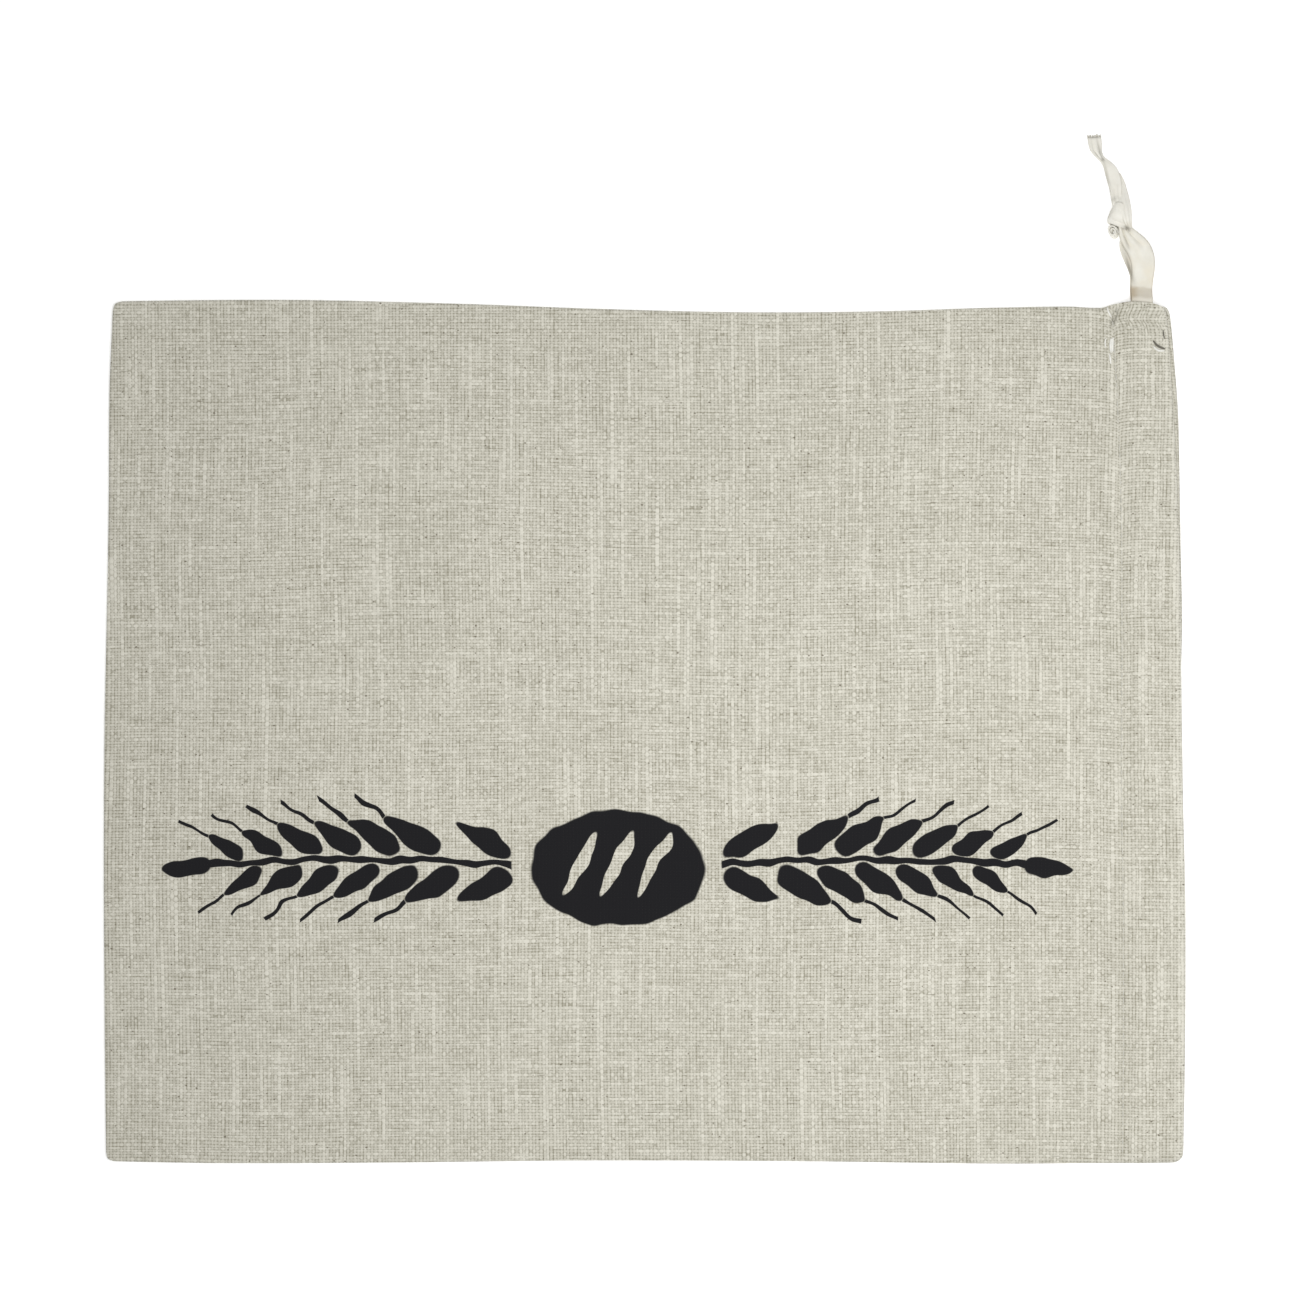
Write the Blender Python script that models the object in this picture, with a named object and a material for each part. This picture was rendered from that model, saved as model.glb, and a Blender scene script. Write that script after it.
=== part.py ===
"""A linen drawstring bag for bread, empty and laid flat on its back panel.

The bag lies with its mouth towards +X and its closed bottom towards -X. Two linen panels are sewn
together along the closed bottom and both long sides. At the mouth each panel's hem is turned
inwards and stitched down, and the two hems make one casing. A flat cotton tape runs down the front
casing, turns round inside the closed side at -Y and comes back up the back casing. Both ends leave
the open side at +Y, are knotted together there and lie on the table.

Sizes are in millimetres, and MM turns them into Blender's metres. The origin is the middle of the
bag's footprint, on the table.
"""

import math

import bmesh
import bpy
from mathutils import Vector

MM = 0.001

# Driving dimensions.
HALF_LENGTH = 191.0
HALF_WIDTH = 152.7
CLOTH = 1.0
TAPE = 1.0
TAPE_WIDTH = 9.5
CLEAR = 0.35
PANEL_GAP = 0.4

# The hem, as distances from the mouth edge.
STITCH_LINE = 21.2
CASING_END = STITCH_LINE - 1.0
CASING_FULL = 16.0
HEM_END = STITCH_LINE + 3.3
SINGLE_CLOTH = 32.0
TAPE_LINE = 8.7

# Heights above the seam plane, which lies midway between the panels. The back panel mirrors them.
INNER_LOW = PANEL_GAP / 2
INNER_HIGH = INNER_LOW + CLOTH
TAPE_LOW = INNER_HIGH + CLEAR
TAPE_HIGH = TAPE_LOW + TAPE
OUTER_LOW = TAPE_HIGH + CLEAR
OUTER_HIGH = OUTER_LOW + CLOTH
DOUBLE_HIGH = INNER_HIGH + CLOTH
FOLD_MIDDLE = (INNER_LOW + OUTER_HIGH) / 2

# The panels' outline: (along X, edge's Y) and (along Y, edge's X).
OPEN_SIDE = (
    (-191.0, 152.0),
    (-182.0, 152.3),
    (-150.0, 152.7),
    (-121.0, 152.7),
    (-91.0, 152.1),
    (-54.0, 151.0),
    (-17.0, 149.6),
    (34.0, 148.4),
    (82.0, 148.7),
    (120.0, 149.9),
    (150.0, 150.4),
    (161.5, 149.9),
    (166.5, 151.4),
    (171.0, 152.1),
    (177.0, 151.8),
    (182.0, 151.0),
    (191.0, 150.4),
)
CLOSED_SIDE = (
    (-191.0, -151.8),
    (-150.0, -152.5),
    (-90.0, -152.3),
    (-20.0, -151.6),
    (60.0, -151.9),
    (125.0, -152.7),
    (165.0, -152.4),
    (191.0, -152.0),
)
BOTTOM_EDGE = (
    (-152.7, -190.2),
    (-110.0, -190.7),
    (-55.0, -191.0),
    (0.0, -190.8),
    (40.0, -190.0),
    (80.0, -189.3),
    (118.0, -189.1),
    (135.0, -188.5),
    (152.7, -187.7),
)
MOUTH_BACK = (
    (-152.7, 190.2),
    (-110.0, 190.9),
    (-60.0, 191.0),
    (-25.0, 190.2),
    (10.0, 189.6),
    (65.0, 189.3),
    (90.0, 188.9),
    (112.0, 188.1),
    (134.0, 186.6),
    (152.7, 185.4),
)
MOUTH_FRONT = (
    (-152.7, 190.2),
    (-110.0, 190.9),
    (-60.0, 191.0),
    (-25.0, 190.2),
    (10.0, 189.5),
    (40.0, 188.4),
    (68.0, 187.3),
    (89.0, 186.6),
    (110.0, 186.0),
    (134.0, 185.0),
    (152.7, 183.9),
)
BOTTOM_CORNER = 3.2
MOUTH_CORNER = 4.0

# The front panel's loft over the back one: its height, and how far from the edges it takes to rise.
LOFT = 1.5
LOFT_REACH = 60.0
# Shallow waves in the front panel: (height, length along X, length along Y, phase).
WAVES = (
    (0.35, 150.0, 260.0, 0.6),
    (0.25, -95.0, 170.0, 2.1),
    (0.18, 70.0, -110.0, 4.0),
)

# Mesh stations.
CURL_ANGLES = (0, 30, 60, 90)
FOLD_ANGLES = (45, 0, -45)
CASING_STATIONS = (CASING_FULL, 11.0, 6.0)
RIM = 3.0
BODY_COLUMNS = 15
BODY_ROWS = 12

# The free tape: (x, y, middle height, width). Each route starts inside the casing.
LEAD_START = 2.0
LEAD_FRONT = (
    (175.3, 149.3, 5.95, 9.3),
    (175.6, 152.9, 5.75, 8.7),
    (176.1, 157.0, 4.00, 8.4),
    (176.6, 161.3, 2.25, 8.9),
    (175.9, 165.2, 2.00, 9.5),
    (174.0, 168.4, 2.00, 9.2),
    (171.6, 170.8, 2.00, 7.8),
    (170.1, 172.7, 2.00, 6.6),
    (169.6, 174.6, 2.00, 6.0),
)
LEAD_BACK = (
    (176.8, 149.3, 1.85, 9.3),
    (176.3, 153.2, 1.85, 9.2),
    (175.6, 157.0, 1.05, 9.0),
    (175.0, 161.3, 0.62, 9.0),
    (173.7, 165.2, 0.60, 9.3),
    (171.9, 168.4, 0.60, 9.2),
    (170.4, 170.9, 0.62, 7.8),
    (169.5, 172.8, 0.62, 6.6),
    (169.2, 174.6, 0.62, 6.0),
)
TAIL_LONG = (
    (168.0, 187.5, 2.35, 6.0),
    (167.2, 191.4, 2.30, 6.3),
    (165.8, 195.8, 2.10, 5.9),
    (164.0, 200.0, 2.10, 4.6),
    (162.3, 203.3, 2.30, 3.4),
    (160.9, 206.3, 2.20, 4.2),
    (159.4, 210.4, 1.90, 4.9),
)
TAIL_SHORT = (
    (169.2, 187.5, 0.95, 6.0),
    (168.9, 190.8, 0.80, 6.5),
    (167.6, 194.6, 0.70, 6.3),
    (166.0, 198.4, 0.65, 5.6),
    (164.7, 201.2, 0.65, 4.8),
)
STRIP_STEPS = 12
CASING_HEADING = Vector((0.0, 1.0))

# The overhand knot, lofted along its axis: (share of the axis, half width, height, sideways shift).
KNOT_START = (169.3, 174.9)
KNOT_END = (168.6, 187.2)
KNOT_FLOOR = 0.08
KNOT_RINGS = (
    (0.00, 3.2, 3.0, 0.0),
    (0.08, 3.6, 4.2, 0.1),
    (0.22, 4.2, 5.4, 0.6),
    (0.40, 4.5, 6.2, 0.8),
    (0.58, 4.4, 6.3, 0.4),
    (0.76, 4.0, 5.6, 0.0),
    (0.92, 3.6, 4.4, -0.2),
    (1.00, 3.2, 3.4, -0.2),
)
KNOT_SIDES = 16
KNOT_RIDGE = 0.09
KNOT_TWIST = 1.6

LINEN_COLOUR = (0.57, 0.55, 0.46, 1.0)
TAPE_COLOUR = (0.80, 0.77, 0.66, 1.0)


def smooth_edge(points, at):
    """The height at `at` of a smooth curve through points, each (position, height)."""
    last = len(points) - 2
    k = 0
    while k < last and at > points[k + 1][0]:
        k += 1
    before = points[max(k - 1, 0)]
    start = points[k]
    end = points[k + 1]
    after = points[min(k + 2, len(points) - 1)]
    span = end[0] - start[0]
    t = min(max((at - start[0]) / span, 0.0), 1.0)
    leave = (end[1] - before[1]) / (end[0] - before[0]) * span
    arrive = (after[1] - start[1]) / (after[0] - start[0]) * span
    return (
        (2 * t**3 - 3 * t**2 + 1) * start[1]
        + (t**3 - 2 * t**2 + t) * leave
        + (3 * t**2 - 2 * t**3) * end[1]
        + (t**3 - t**2) * arrive
    )


def smooth_route(points, steps):
    """Evenly numbered places on a smooth curve through points of any number of values."""
    places = []
    for step in range(steps + 1):
        at = step / steps * (len(points) - 1)
        columns = zip(*points)
        places.append([smooth_edge(list(enumerate(c)), at) for c in columns])
    return places


def between(low, high, share):
    return low + (high - low) * share


def eased(share):
    share = min(max(share, 0.0), 1.0)
    return share * share * (3 - 2 * share)


def hull_rise(from_mouth):
    """How far the outer face stands from the seam plane at this distance from the mouth."""
    if from_mouth <= CASING_FULL:
        return OUTER_HIGH
    if from_mouth <= CASING_END:
        share = (from_mouth - CASING_FULL) / (CASING_END - CASING_FULL)
        return between(OUTER_HIGH, DOUBLE_HIGH, share)
    if from_mouth <= HEM_END:
        return DOUBLE_HIGH
    share = min((from_mouth - HEM_END) / (SINGLE_CLOTH - HEM_END), 1.0)
    return between(DOUBLE_HIGH, INNER_HIGH, share)


def curl(angle, reach):
    """(how far short of full reach, share of the rise) at an angle round a panel's rolled edge."""
    return reach * math.cos(math.radians(angle)), math.sin(math.radians(angle))


def round_corner(x, y, left, right, low, high):
    """Moves a point near an outline's square corner on to the rounded one."""
    radius = BOTTOM_CORNER if x < 0 else MOUTH_CORNER
    edge_x = left if x < 0 else right
    edge_y = low if y < 0 else high
    across = 1 - abs(edge_x - x) / radius
    along = 1 - abs(edge_y - y) / radius
    if across <= 0 or along <= 0:
        return x, y
    sign_x = 1 if x > 0 else -1
    sign_y = 1 if y > 0 else -1
    new_across = across * math.sqrt(1 - along**2 / 2)
    new_along = along * math.sqrt(1 - across**2 / 2)
    x += sign_x * radius * (new_across - across)
    y += sign_y * radius * (new_along - along)
    return x, y


def panel_columns():
    """The panel's section along X, as columns of (tunnel side, outer side).

    A node is (what its distance is measured from, distance or share, height over the seam plane,
    share of that height left by the rolled bottom edge). The columns run from the bottom edge to
    the mouth along the outer cloth, round the fold and back along the hem to its end.
    """
    columns = []
    for angle in CURL_ANGLES:
        low_reach, share = curl(angle, INNER_LOW)
        high_reach, _ = curl(angle, INNER_HIGH)
        columns.append(
            (
                ("bottom", INNER_HIGH - low_reach, INNER_LOW, share),
                ("bottom", INNER_HIGH - high_reach, INNER_HIGH, share),
            )
        )
    rim = INNER_HIGH + RIM
    columns.append((("bottom", rim, INNER_LOW, 1), ("bottom", rim, INNER_HIGH, 1)))
    for k in range(1, BODY_COLUMNS + 1):
        share = k / BODY_COLUMNS
        columns.append((("body", share, INNER_LOW, 1), ("body", share, INNER_HIGH, 1)))
    for from_mouth in (HEM_END, CASING_END):
        columns.append(
            (("mouth", from_mouth, INNER_HIGH, 1), ("mouth", from_mouth, DOUBLE_HIGH, 1))
        )
    fold_radius = OUTER_HIGH - FOLD_MIDDLE
    for from_mouth in (*CASING_STATIONS, fold_radius):
        columns.append(
            (("mouth", from_mouth, OUTER_LOW, 1), ("mouth", from_mouth, OUTER_HIGH, 1))
        )
    for angle in FOLD_ANGLES:
        cosine = math.cos(math.radians(angle))
        sine = math.sin(math.radians(angle))
        nodes = []
        for radius in (fold_radius - CLOTH, fold_radius):
            from_mouth = fold_radius - radius * cosine
            nodes.append(("mouth", from_mouth, FOLD_MIDDLE + radius * sine, 1))
        columns.append(tuple(nodes))
    for from_mouth in (fold_radius, *reversed(CASING_STATIONS), CASING_END, HEM_END):
        columns.append(
            (("mouth", from_mouth, INNER_HIGH, 1), ("mouth", from_mouth, INNER_LOW, 1))
        )
    return columns


def panel_rows():
    """Rows across the panel: (side it is measured from, distance or share, angle of the roll)."""
    rows = [("closed", 0, angle) for angle in CURL_ANGLES]
    rows.append(("closed", RIM, 90))
    rows += [("inside", k / BODY_ROWS, 90) for k in range(1, BODY_ROWS)]
    rows.append(("open", RIM, 90))
    rows += [("open", 0, angle) for angle in reversed(CURL_ANGLES)]
    return rows


def node_x(node, y, mouth):
    """A node's X and its distance from the mouth, at this Y."""
    kind, value, _, _ = node
    left = smooth_edge(BOTTOM_EDGE, y)
    right = smooth_edge(mouth, y)
    if kind == "bottom":
        x = left + value
    elif kind == "mouth":
        x = right - value
    else:
        x = between(left + INNER_HIGH + RIM, right - SINGLE_CLOTH, value)
    return x, right - x


def place_node(node, row, mouth, side):
    """A node's place in one row. Side is 1 for the front panel and -1 for the back one."""
    _, _, reach, bottom_share = node
    anchor, value, angle = row
    nominal_y = {"closed": -HALF_WIDTH, "open": HALF_WIDTH}.get(anchor)
    if nominal_y is None:
        nominal_y = between(-HALF_WIDTH, HALF_WIDTH, value)
    x, from_mouth = node_x(node, nominal_y, mouth)
    low = smooth_edge(CLOSED_SIDE, x)
    high = smooth_edge(OPEN_SIDE, x)
    hull = hull_rise(from_mouth)
    lateral, side_share = curl(angle, reach)
    if anchor == "closed":
        y = low + hull + value - lateral
        rolled = 1.0
    elif anchor == "open":
        # The seam on this side stops at the casing, whose end stays open and unrolled.
        rolled = eased((from_mouth - CASING_END) / (HEM_END - CASING_END))
        y = high - hull - value + between(curl(angle, hull)[0], lateral, rolled)
    else:
        y = between(low + hull + RIM, high - hull - RIM, value)
        rolled = 1.0
    share = between(1.0, side_share, rolled) * bottom_share
    x, from_mouth = node_x(node, y, mouth)
    left = smooth_edge(BOTTOM_EDGE, y)
    right = smooth_edge(mouth, y)
    rise = INNER_LOW + (reach - INNER_LOW) * share
    z = hull_rise(from_mouth) + side * rise
    if side > 0:
        across = min(x - left - INNER_HIGH, from_mouth - SINGLE_CLOTH)
        along = min(y - low, high - y) - INNER_HIGH
        z += panel_loft(x, y, across, along)
    x, y = round_corner(x, y, left, right, low, high)
    return Vector((x, y, z)) * MM


def panel_loft(x, y, across, along):
    """How far the front panel stands above where it would lie flat, from its insets both ways."""
    share = eased(across / LOFT_REACH) * eased(along / LOFT_REACH)
    height = LOFT
    for wave, length_x, length_y, phase in WAVES:
        height += wave * math.sin(2 * math.pi * (x / length_x + y / length_y) + phase)
    return share * height


def hexes_to_mesh(name, columns, rows, place):
    """Makes a closed mesh from a layer of boxes, keeping the faces that only one box has."""
    bm = bmesh.new()
    numbers = {}
    for column in columns:
        for node in column:
            numbers.setdefault(node, len(numbers))
    grid = [[bm.verts.new(place(node, row)) for node in numbers] for row in rows]
    cells = []
    for (a, b), (d, c) in zip(columns, columns[1:]):
        cells.append([numbers[n] for n in (a, b, c, d)])
    faces = {}
    for near, far in zip(grid, grid[1:]):
        for cell in cells:
            first = [near[k] for k in cell]
            second = [far[k] for k in cell]
            box = [first, second[::-1]]
            for k in range(4):
                n = (k + 1) % 4
                box.append([first[k], first[n], second[n], second[k]])
            for face in box:
                faces.setdefault(frozenset(face), []).append(face)
    for found in faces.values():
        if len(found) == 1:
            bm.faces.new(found[0])
    loose = [v for v in bm.verts if not v.link_faces]
    bmesh.ops.delete(bm, geom=loose, context="VERTS")
    bmesh.ops.recalc_face_normals(bm, faces=bm.faces)
    return finish_object(name, bm)


def finish_object(name, bm):
    mesh = bpy.data.meshes.new(name)
    bm.to_mesh(mesh)
    bm.free()
    mesh.shade_smooth()
    mesh.set_sharp_from_angle(angle=math.radians(50))
    obj = bpy.data.objects.new(name, mesh)
    bpy.context.scene.collection.objects.link(obj)
    return obj


def make_panel(name, mouth, side):
    def place(node, row):
        return place_node(node, row, mouth, side)

    return hexes_to_mesh(name, panel_columns(), panel_rows(), place)


def loft_rings(name, rings):
    """A closed mesh through rings of equal length, with a flat cap at each end."""
    bm = bmesh.new()
    loops = [[bm.verts.new(Vector(p) * MM) for p in ring] for ring in rings]
    for one, two in zip(loops, loops[1:]):
        for k in range(len(one)):
            n = (k + 1) % len(one)
            bm.faces.new((one[k], one[n], two[n], two[k]))
    bm.faces.new(loops[0])
    bm.faces.new(loops[-1][::-1])
    bmesh.ops.recalc_face_normals(bm, faces=bm.faces)
    return finish_object(name, bm)


def make_drawstring_run():
    """The tape inside the casing: front run, turn round the closed side, back run."""
    shares = [k / BODY_ROWS for k in range(BODY_ROWS)]
    rings = [straight_ring(MOUTH_FRONT, 1, share) for share in shares]
    angles = (*CURL_ANGLES[::-1], *(-angle for angle in CURL_ANGLES[1:]))
    rings += [turn_ring(angle) for angle in angles]
    rings += [straight_ring(MOUTH_BACK, -1, share) for share in shares[::-1]]
    return loft_rings("drawstring_run", rings)


def tape_sides(mouth, y):
    """The tape's two edges in the casing, as X, at this Y."""
    middle = smooth_edge(mouth, y) - TAPE_LINE
    return middle - TAPE_WIDTH / 2, middle + TAPE_WIDTH / 2


def straight_ring(mouth, side, share):
    """The tape's section at a share of the way from the open side to the turn."""
    start = smooth_edge(OPEN_SIDE, HALF_LENGTH - TAPE_LINE) - LEAD_START
    nominal_y = between(start, OUTER_HIGH - HALF_WIDTH, share)
    ring = []
    for reach in (TAPE_LOW, TAPE_HIGH):
        for x in tape_sides(mouth, nominal_y):
            y = between(start, smooth_edge(CLOSED_SIDE, x) + OUTER_HIGH, share)
            ring.append((x, y, OUTER_HIGH + side * reach))
    return [ring[k] for k in (0, 1, 3, 2)]


def turn_ring(angle):
    """The tape's section at an angle of its turn, rolled round the same axis as the cloth."""
    ring = []
    for reach in (TAPE_LOW, TAPE_HIGH):
        lateral, share = curl(angle, reach)
        for x in tape_sides(MOUTH_FRONT, OUTER_HIGH - HALF_WIDTH):
            y = smooth_edge(CLOSED_SIDE, x) + OUTER_HIGH - lateral
            ring.append((x, y, OUTER_HIGH + reach * share))
    return [ring[k] for k in (0, 1, 3, 2)]


def knot_heading():
    return (Vector(KNOT_END) - Vector(KNOT_START)).normalized()


def make_free_tape(name, route, end_headings):
    """A flat strip along a route whose points are (x, y, middle height, width).

    An end with a heading, of the first and the last step, is cut square to it.
    """
    places = smooth_route(route, STRIP_STEPS)
    squared = dict(zip((0, STRIP_STEPS), end_headings))
    rings = []
    for k, (x, y, z, width) in enumerate(places):
        before = places[max(k - 1, 0)]
        after = places[min(k + 1, len(places) - 1)]
        heading = Vector((after[0] - before[0], after[1] - before[1])).normalized()
        heading = squared.get(k) or heading
        across = Vector((heading.y, -heading.x)) * width / 2
        rings.append(
            [
                (x - across.x, y - across.y, z - TAPE / 2),
                (x + across.x, y + across.y, z - TAPE / 2),
                (x + across.x, y + across.y, z + TAPE / 2),
                (x - across.x, y - across.y, z + TAPE / 2),
            ]
        )
    return loft_rings(name, rings)


def make_knot():
    """The overhand knot: rings along its axis, with two ridges that wind round it as its wraps do."""
    start = Vector(KNOT_START)
    end = Vector(KNOT_END)
    across = Vector((knot_heading().y, -knot_heading().x))
    rings = []
    for share, half_width, height, shift in KNOT_RINGS:
        middle = start.lerp(end, share) - across * shift
        lumpiness = KNOT_RIDGE * math.sin(math.pi * share)
        ring = []
        for k in range(KNOT_SIDES):
            angle = 2 * math.pi * k / KNOT_SIDES
            ridge = 1 + lumpiness * math.cos(2 * angle - KNOT_TWIST * math.pi * share)
            sideways = half_width * ridge * math.cos(angle)
            rise = max(height / 2 * (1 + ridge * math.sin(angle)), 0.0)
            place = middle + across * sideways
            ring.append((place.x, place.y, KNOT_FLOOR + rise))
        rings.append(ring)
    return loft_rings("drawstring_knot", rings)


def make_material(name, colour, roughness):
    material = bpy.data.materials.new(name)
    material.use_nodes = True
    shader = material.node_tree.nodes["Principled BSDF"]
    shader.inputs["Base Color"].default_value = colour
    shader.inputs["Roughness"].default_value = roughness
    shader.inputs["Metallic"].default_value = 0.0
    return material


def main():
    for obj in list(bpy.data.objects):
        bpy.data.objects.remove(obj)
    cloth = [
        make_panel("front_panel", MOUTH_FRONT, 1),
        make_panel("back_panel", MOUTH_BACK, -1),
    ]
    tape = [
        make_drawstring_run(),
        make_free_tape("drawstring_lead_front", LEAD_FRONT, (CASING_HEADING, knot_heading())),
        make_free_tape("drawstring_lead_back", LEAD_BACK, (CASING_HEADING, knot_heading())),
        make_knot(),
        make_free_tape("drawstring_tail_long", TAIL_LONG, (knot_heading(), None)),
        make_free_tape("drawstring_tail_short", TAIL_SHORT, (knot_heading(), None)),
    ]
    for obj in cloth:
        obj.data.materials.append(make_material("linen_" + obj.name, LINEN_COLOUR, 0.9))
    for obj in tape:
        obj.data.materials.append(make_material("cotton_" + obj.name, TAPE_COLOUR, 0.85))


main()
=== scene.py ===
"""The looks of a linen drawstring bag that lies flat, seen from straight above.

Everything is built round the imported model, in its frame: +X towards the mouth, +Y towards the side
where the drawstring leaves, +Z up, origin under the bag's middle. Sizes are in millimetres, and MM
turns them into metres.
"""

import math
from collections import namedtuple
from types import SimpleNamespace

import bmesh
import bpy
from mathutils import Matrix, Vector, noise


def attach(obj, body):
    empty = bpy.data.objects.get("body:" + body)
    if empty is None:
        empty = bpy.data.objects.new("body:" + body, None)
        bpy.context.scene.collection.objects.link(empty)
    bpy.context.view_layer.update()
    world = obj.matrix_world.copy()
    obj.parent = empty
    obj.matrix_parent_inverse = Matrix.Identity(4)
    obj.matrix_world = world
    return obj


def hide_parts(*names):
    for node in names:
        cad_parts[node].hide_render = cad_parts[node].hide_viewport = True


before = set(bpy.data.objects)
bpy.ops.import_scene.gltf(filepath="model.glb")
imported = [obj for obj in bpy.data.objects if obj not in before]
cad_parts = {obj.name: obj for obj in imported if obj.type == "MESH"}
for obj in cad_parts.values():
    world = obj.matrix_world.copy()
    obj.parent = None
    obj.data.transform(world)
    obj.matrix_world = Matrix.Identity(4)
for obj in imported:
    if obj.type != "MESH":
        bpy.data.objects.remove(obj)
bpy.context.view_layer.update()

MM = 0.001


def new_object(name, data):
    """Puts a mesh, a camera or a light into the scene."""
    obj = bpy.data.objects.new(name, data)
    bpy.context.scene.collection.objects.link(obj)
    return obj


# --------------------------------------
# Camera: straight above, with the view centred a little towards the drawstring.
VIEW_MIDDLE = (2.12, 28.95)
VIEW_WIDTH = 458.9
CAMERA_HEIGHT = 1250.0
VIEWED_HEIGHT = 3.5
SENSOR = 36.0
CLIP_START = 50.0
CLIP_END = 20000.0


def make_camera():
    """A camera that sees VIEW_WIDTH across at VIEWED_HEIGHT above the floor."""
    camera = bpy.data.cameras.new("camera")
    camera.sensor_width = SENSOR
    camera.lens = SENSOR * (CAMERA_HEIGHT - VIEWED_HEIGHT) / VIEW_WIDTH
    camera.clip_start = CLIP_START * MM
    camera.clip_end = CLIP_END * MM
    obj = new_object("camera", camera)
    obj.location = Vector((*VIEW_MIDDLE, CAMERA_HEIGHT)) * MM
    bpy.context.scene.camera = obj


# --------------------------------------
# Shared shapes.
def smooth_edge(points, at):
    """The height at `at` of a smooth curve through points, each (position, height)."""
    last = len(points) - 2
    k = 0
    while k < last and at > points[k + 1][0]:
        k += 1
    before = points[max(k - 1, 0)]
    start = points[k]
    end = points[k + 1]
    after = points[min(k + 2, len(points) - 1)]
    span = end[0] - start[0]
    t = min(max((at - start[0]) / span, 0.0), 1.0)
    leave = (end[1] - before[1]) / (end[0] - before[0]) * span
    arrive = (after[1] - start[1]) / (after[0] - start[0]) * span
    return (
        (2 * t**3 - 3 * t**2 + 1) * start[1]
        + (t**3 - 2 * t**2 + t) * leave
        + (3 * t**2 - 2 * t**3) * end[1]
        + (t**3 - t**2) * arrive
    )


def smooth_route(points, steps):
    """Evenly numbered places on a smooth curve through points of any number of values."""
    columns = [list(enumerate(column)) for column in zip(*points)]
    places = []
    for step in range(steps + 1):
        at = step / steps * (len(points) - 1)
        places.append([smooth_edge(column, at) for column in columns])
    return places


def between(low, high, share):
    """The value a share of the way from low to high."""
    return low + (high - low) * share


def eased(share):
    """A share that sets off and arrives gently, kept from 0 to 1."""
    share = min(max(share, 0.0), 1.0)
    return share * share * (3 - 2 * share)


def run_lengths(points):
    """How far each point is along the line through them."""
    lengths = [0.0]
    for one, two in zip(points, points[1:]):
        lengths.append(lengths[-1] + math.dist(one, two))
    return lengths


def new_piece(name, bm, material):
    """Ends a bmesh, whose points are in millimetres, as a smooth piece of the bag."""
    bmesh.ops.scale(bm, vec=Vector((MM, MM, MM)), verts=bm.verts)
    mesh = bpy.data.meshes.new(name)
    bm.to_mesh(mesh)
    bm.free()
    mesh.shade_smooth()
    mesh.materials.append(material)
    obj = new_object(name, mesh)
    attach(obj, "root")
    return obj


def grid_faces(bm, grid):
    """Fills the grid between rows of vertices with faces."""
    for one, two in zip(grid, grid[1:]):
        for k in range(len(one) - 1):
            bm.faces.new((one[k], one[k + 1], two[k + 1], two[k]))


def add_sheet(bm, rows):
    """Adds a sheet through rows of points."""
    grid_faces(bm, [[bm.verts.new(point) for point in row] for row in rows])


THREAD_SIDES = 8
THREAD_STEPS = 10
# The share of a thread's radius that its ends have.
THREAD_END = 0.45


def add_thread(bm, points, radius):
    """A short thread through points that dives into the cloth at both ends."""
    middles = [Vector(place) for place in smooth_route(points, THREAD_STEPS)]
    loops = []
    for k, middle in enumerate(middles):
        run = middles[min(k + 1, THREAD_STEPS)] - middles[max(k - 1, 0)]
        level = run.cross(Vector((0, 0, 1))).normalized()
        size = radius * between(THREAD_END, 1.0, math.sin(math.pi * k / THREAD_STEPS) ** 0.5)
        loop = []
        for side in range(THREAD_SIDES):
            angle = 2 * math.pi * side / THREAD_SIDES
            offset = level * math.cos(angle) + Vector((0, 0, math.sin(angle)))
            loop.append(bm.verts.new(middle + offset * size))
        loops.append(loop)
    grid_faces(bm, [loop + loop[:1] for loop in loops])
    bm.faces.new(loops[0][::-1])
    bm.faces.new(loops[-1])


def new_threads(name, threads, material):
    """A piece of short threads, each (points, radius)."""
    bm = bmesh.new()
    for points, radius in threads:
        add_thread(bm, points, radius)
    bmesh.ops.recalc_face_normals(bm, faces=bm.faces)
    return new_piece(name, bm, material)


def thicken(obj, thickness):
    """Gives a piece's middle surface its thickness, half to each side."""
    solidify = obj.modifiers.new("thickness", "SOLIDIFY")
    solidify.thickness = thickness * MM
    solidify.offset = 0.0
    solidify.use_rim = True
    solidify.use_quality_normals = True


# --------------------------------------
# Numbers worked out in a material's nodes, and what the materials share.
def feed(entry, value):
    """Gives a node's input a Number or a plain value."""
    if isinstance(value, Number):
        value.tree.links.new(value.socket, entry)
    else:
        entry.default_value = value


def operation(name, swapped=False):
    """A method of Number that adds one Math node to its tree."""

    def method(self, *others):
        node = self.tree.nodes.new("ShaderNodeMath")
        node.operation = name
        inputs = (*others, self) if swapped else (self, *others)
        for entry, value in zip(node.inputs, inputs):
            feed(entry, value)
        return Number(self.tree, node.outputs["Value"])

    return method


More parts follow.
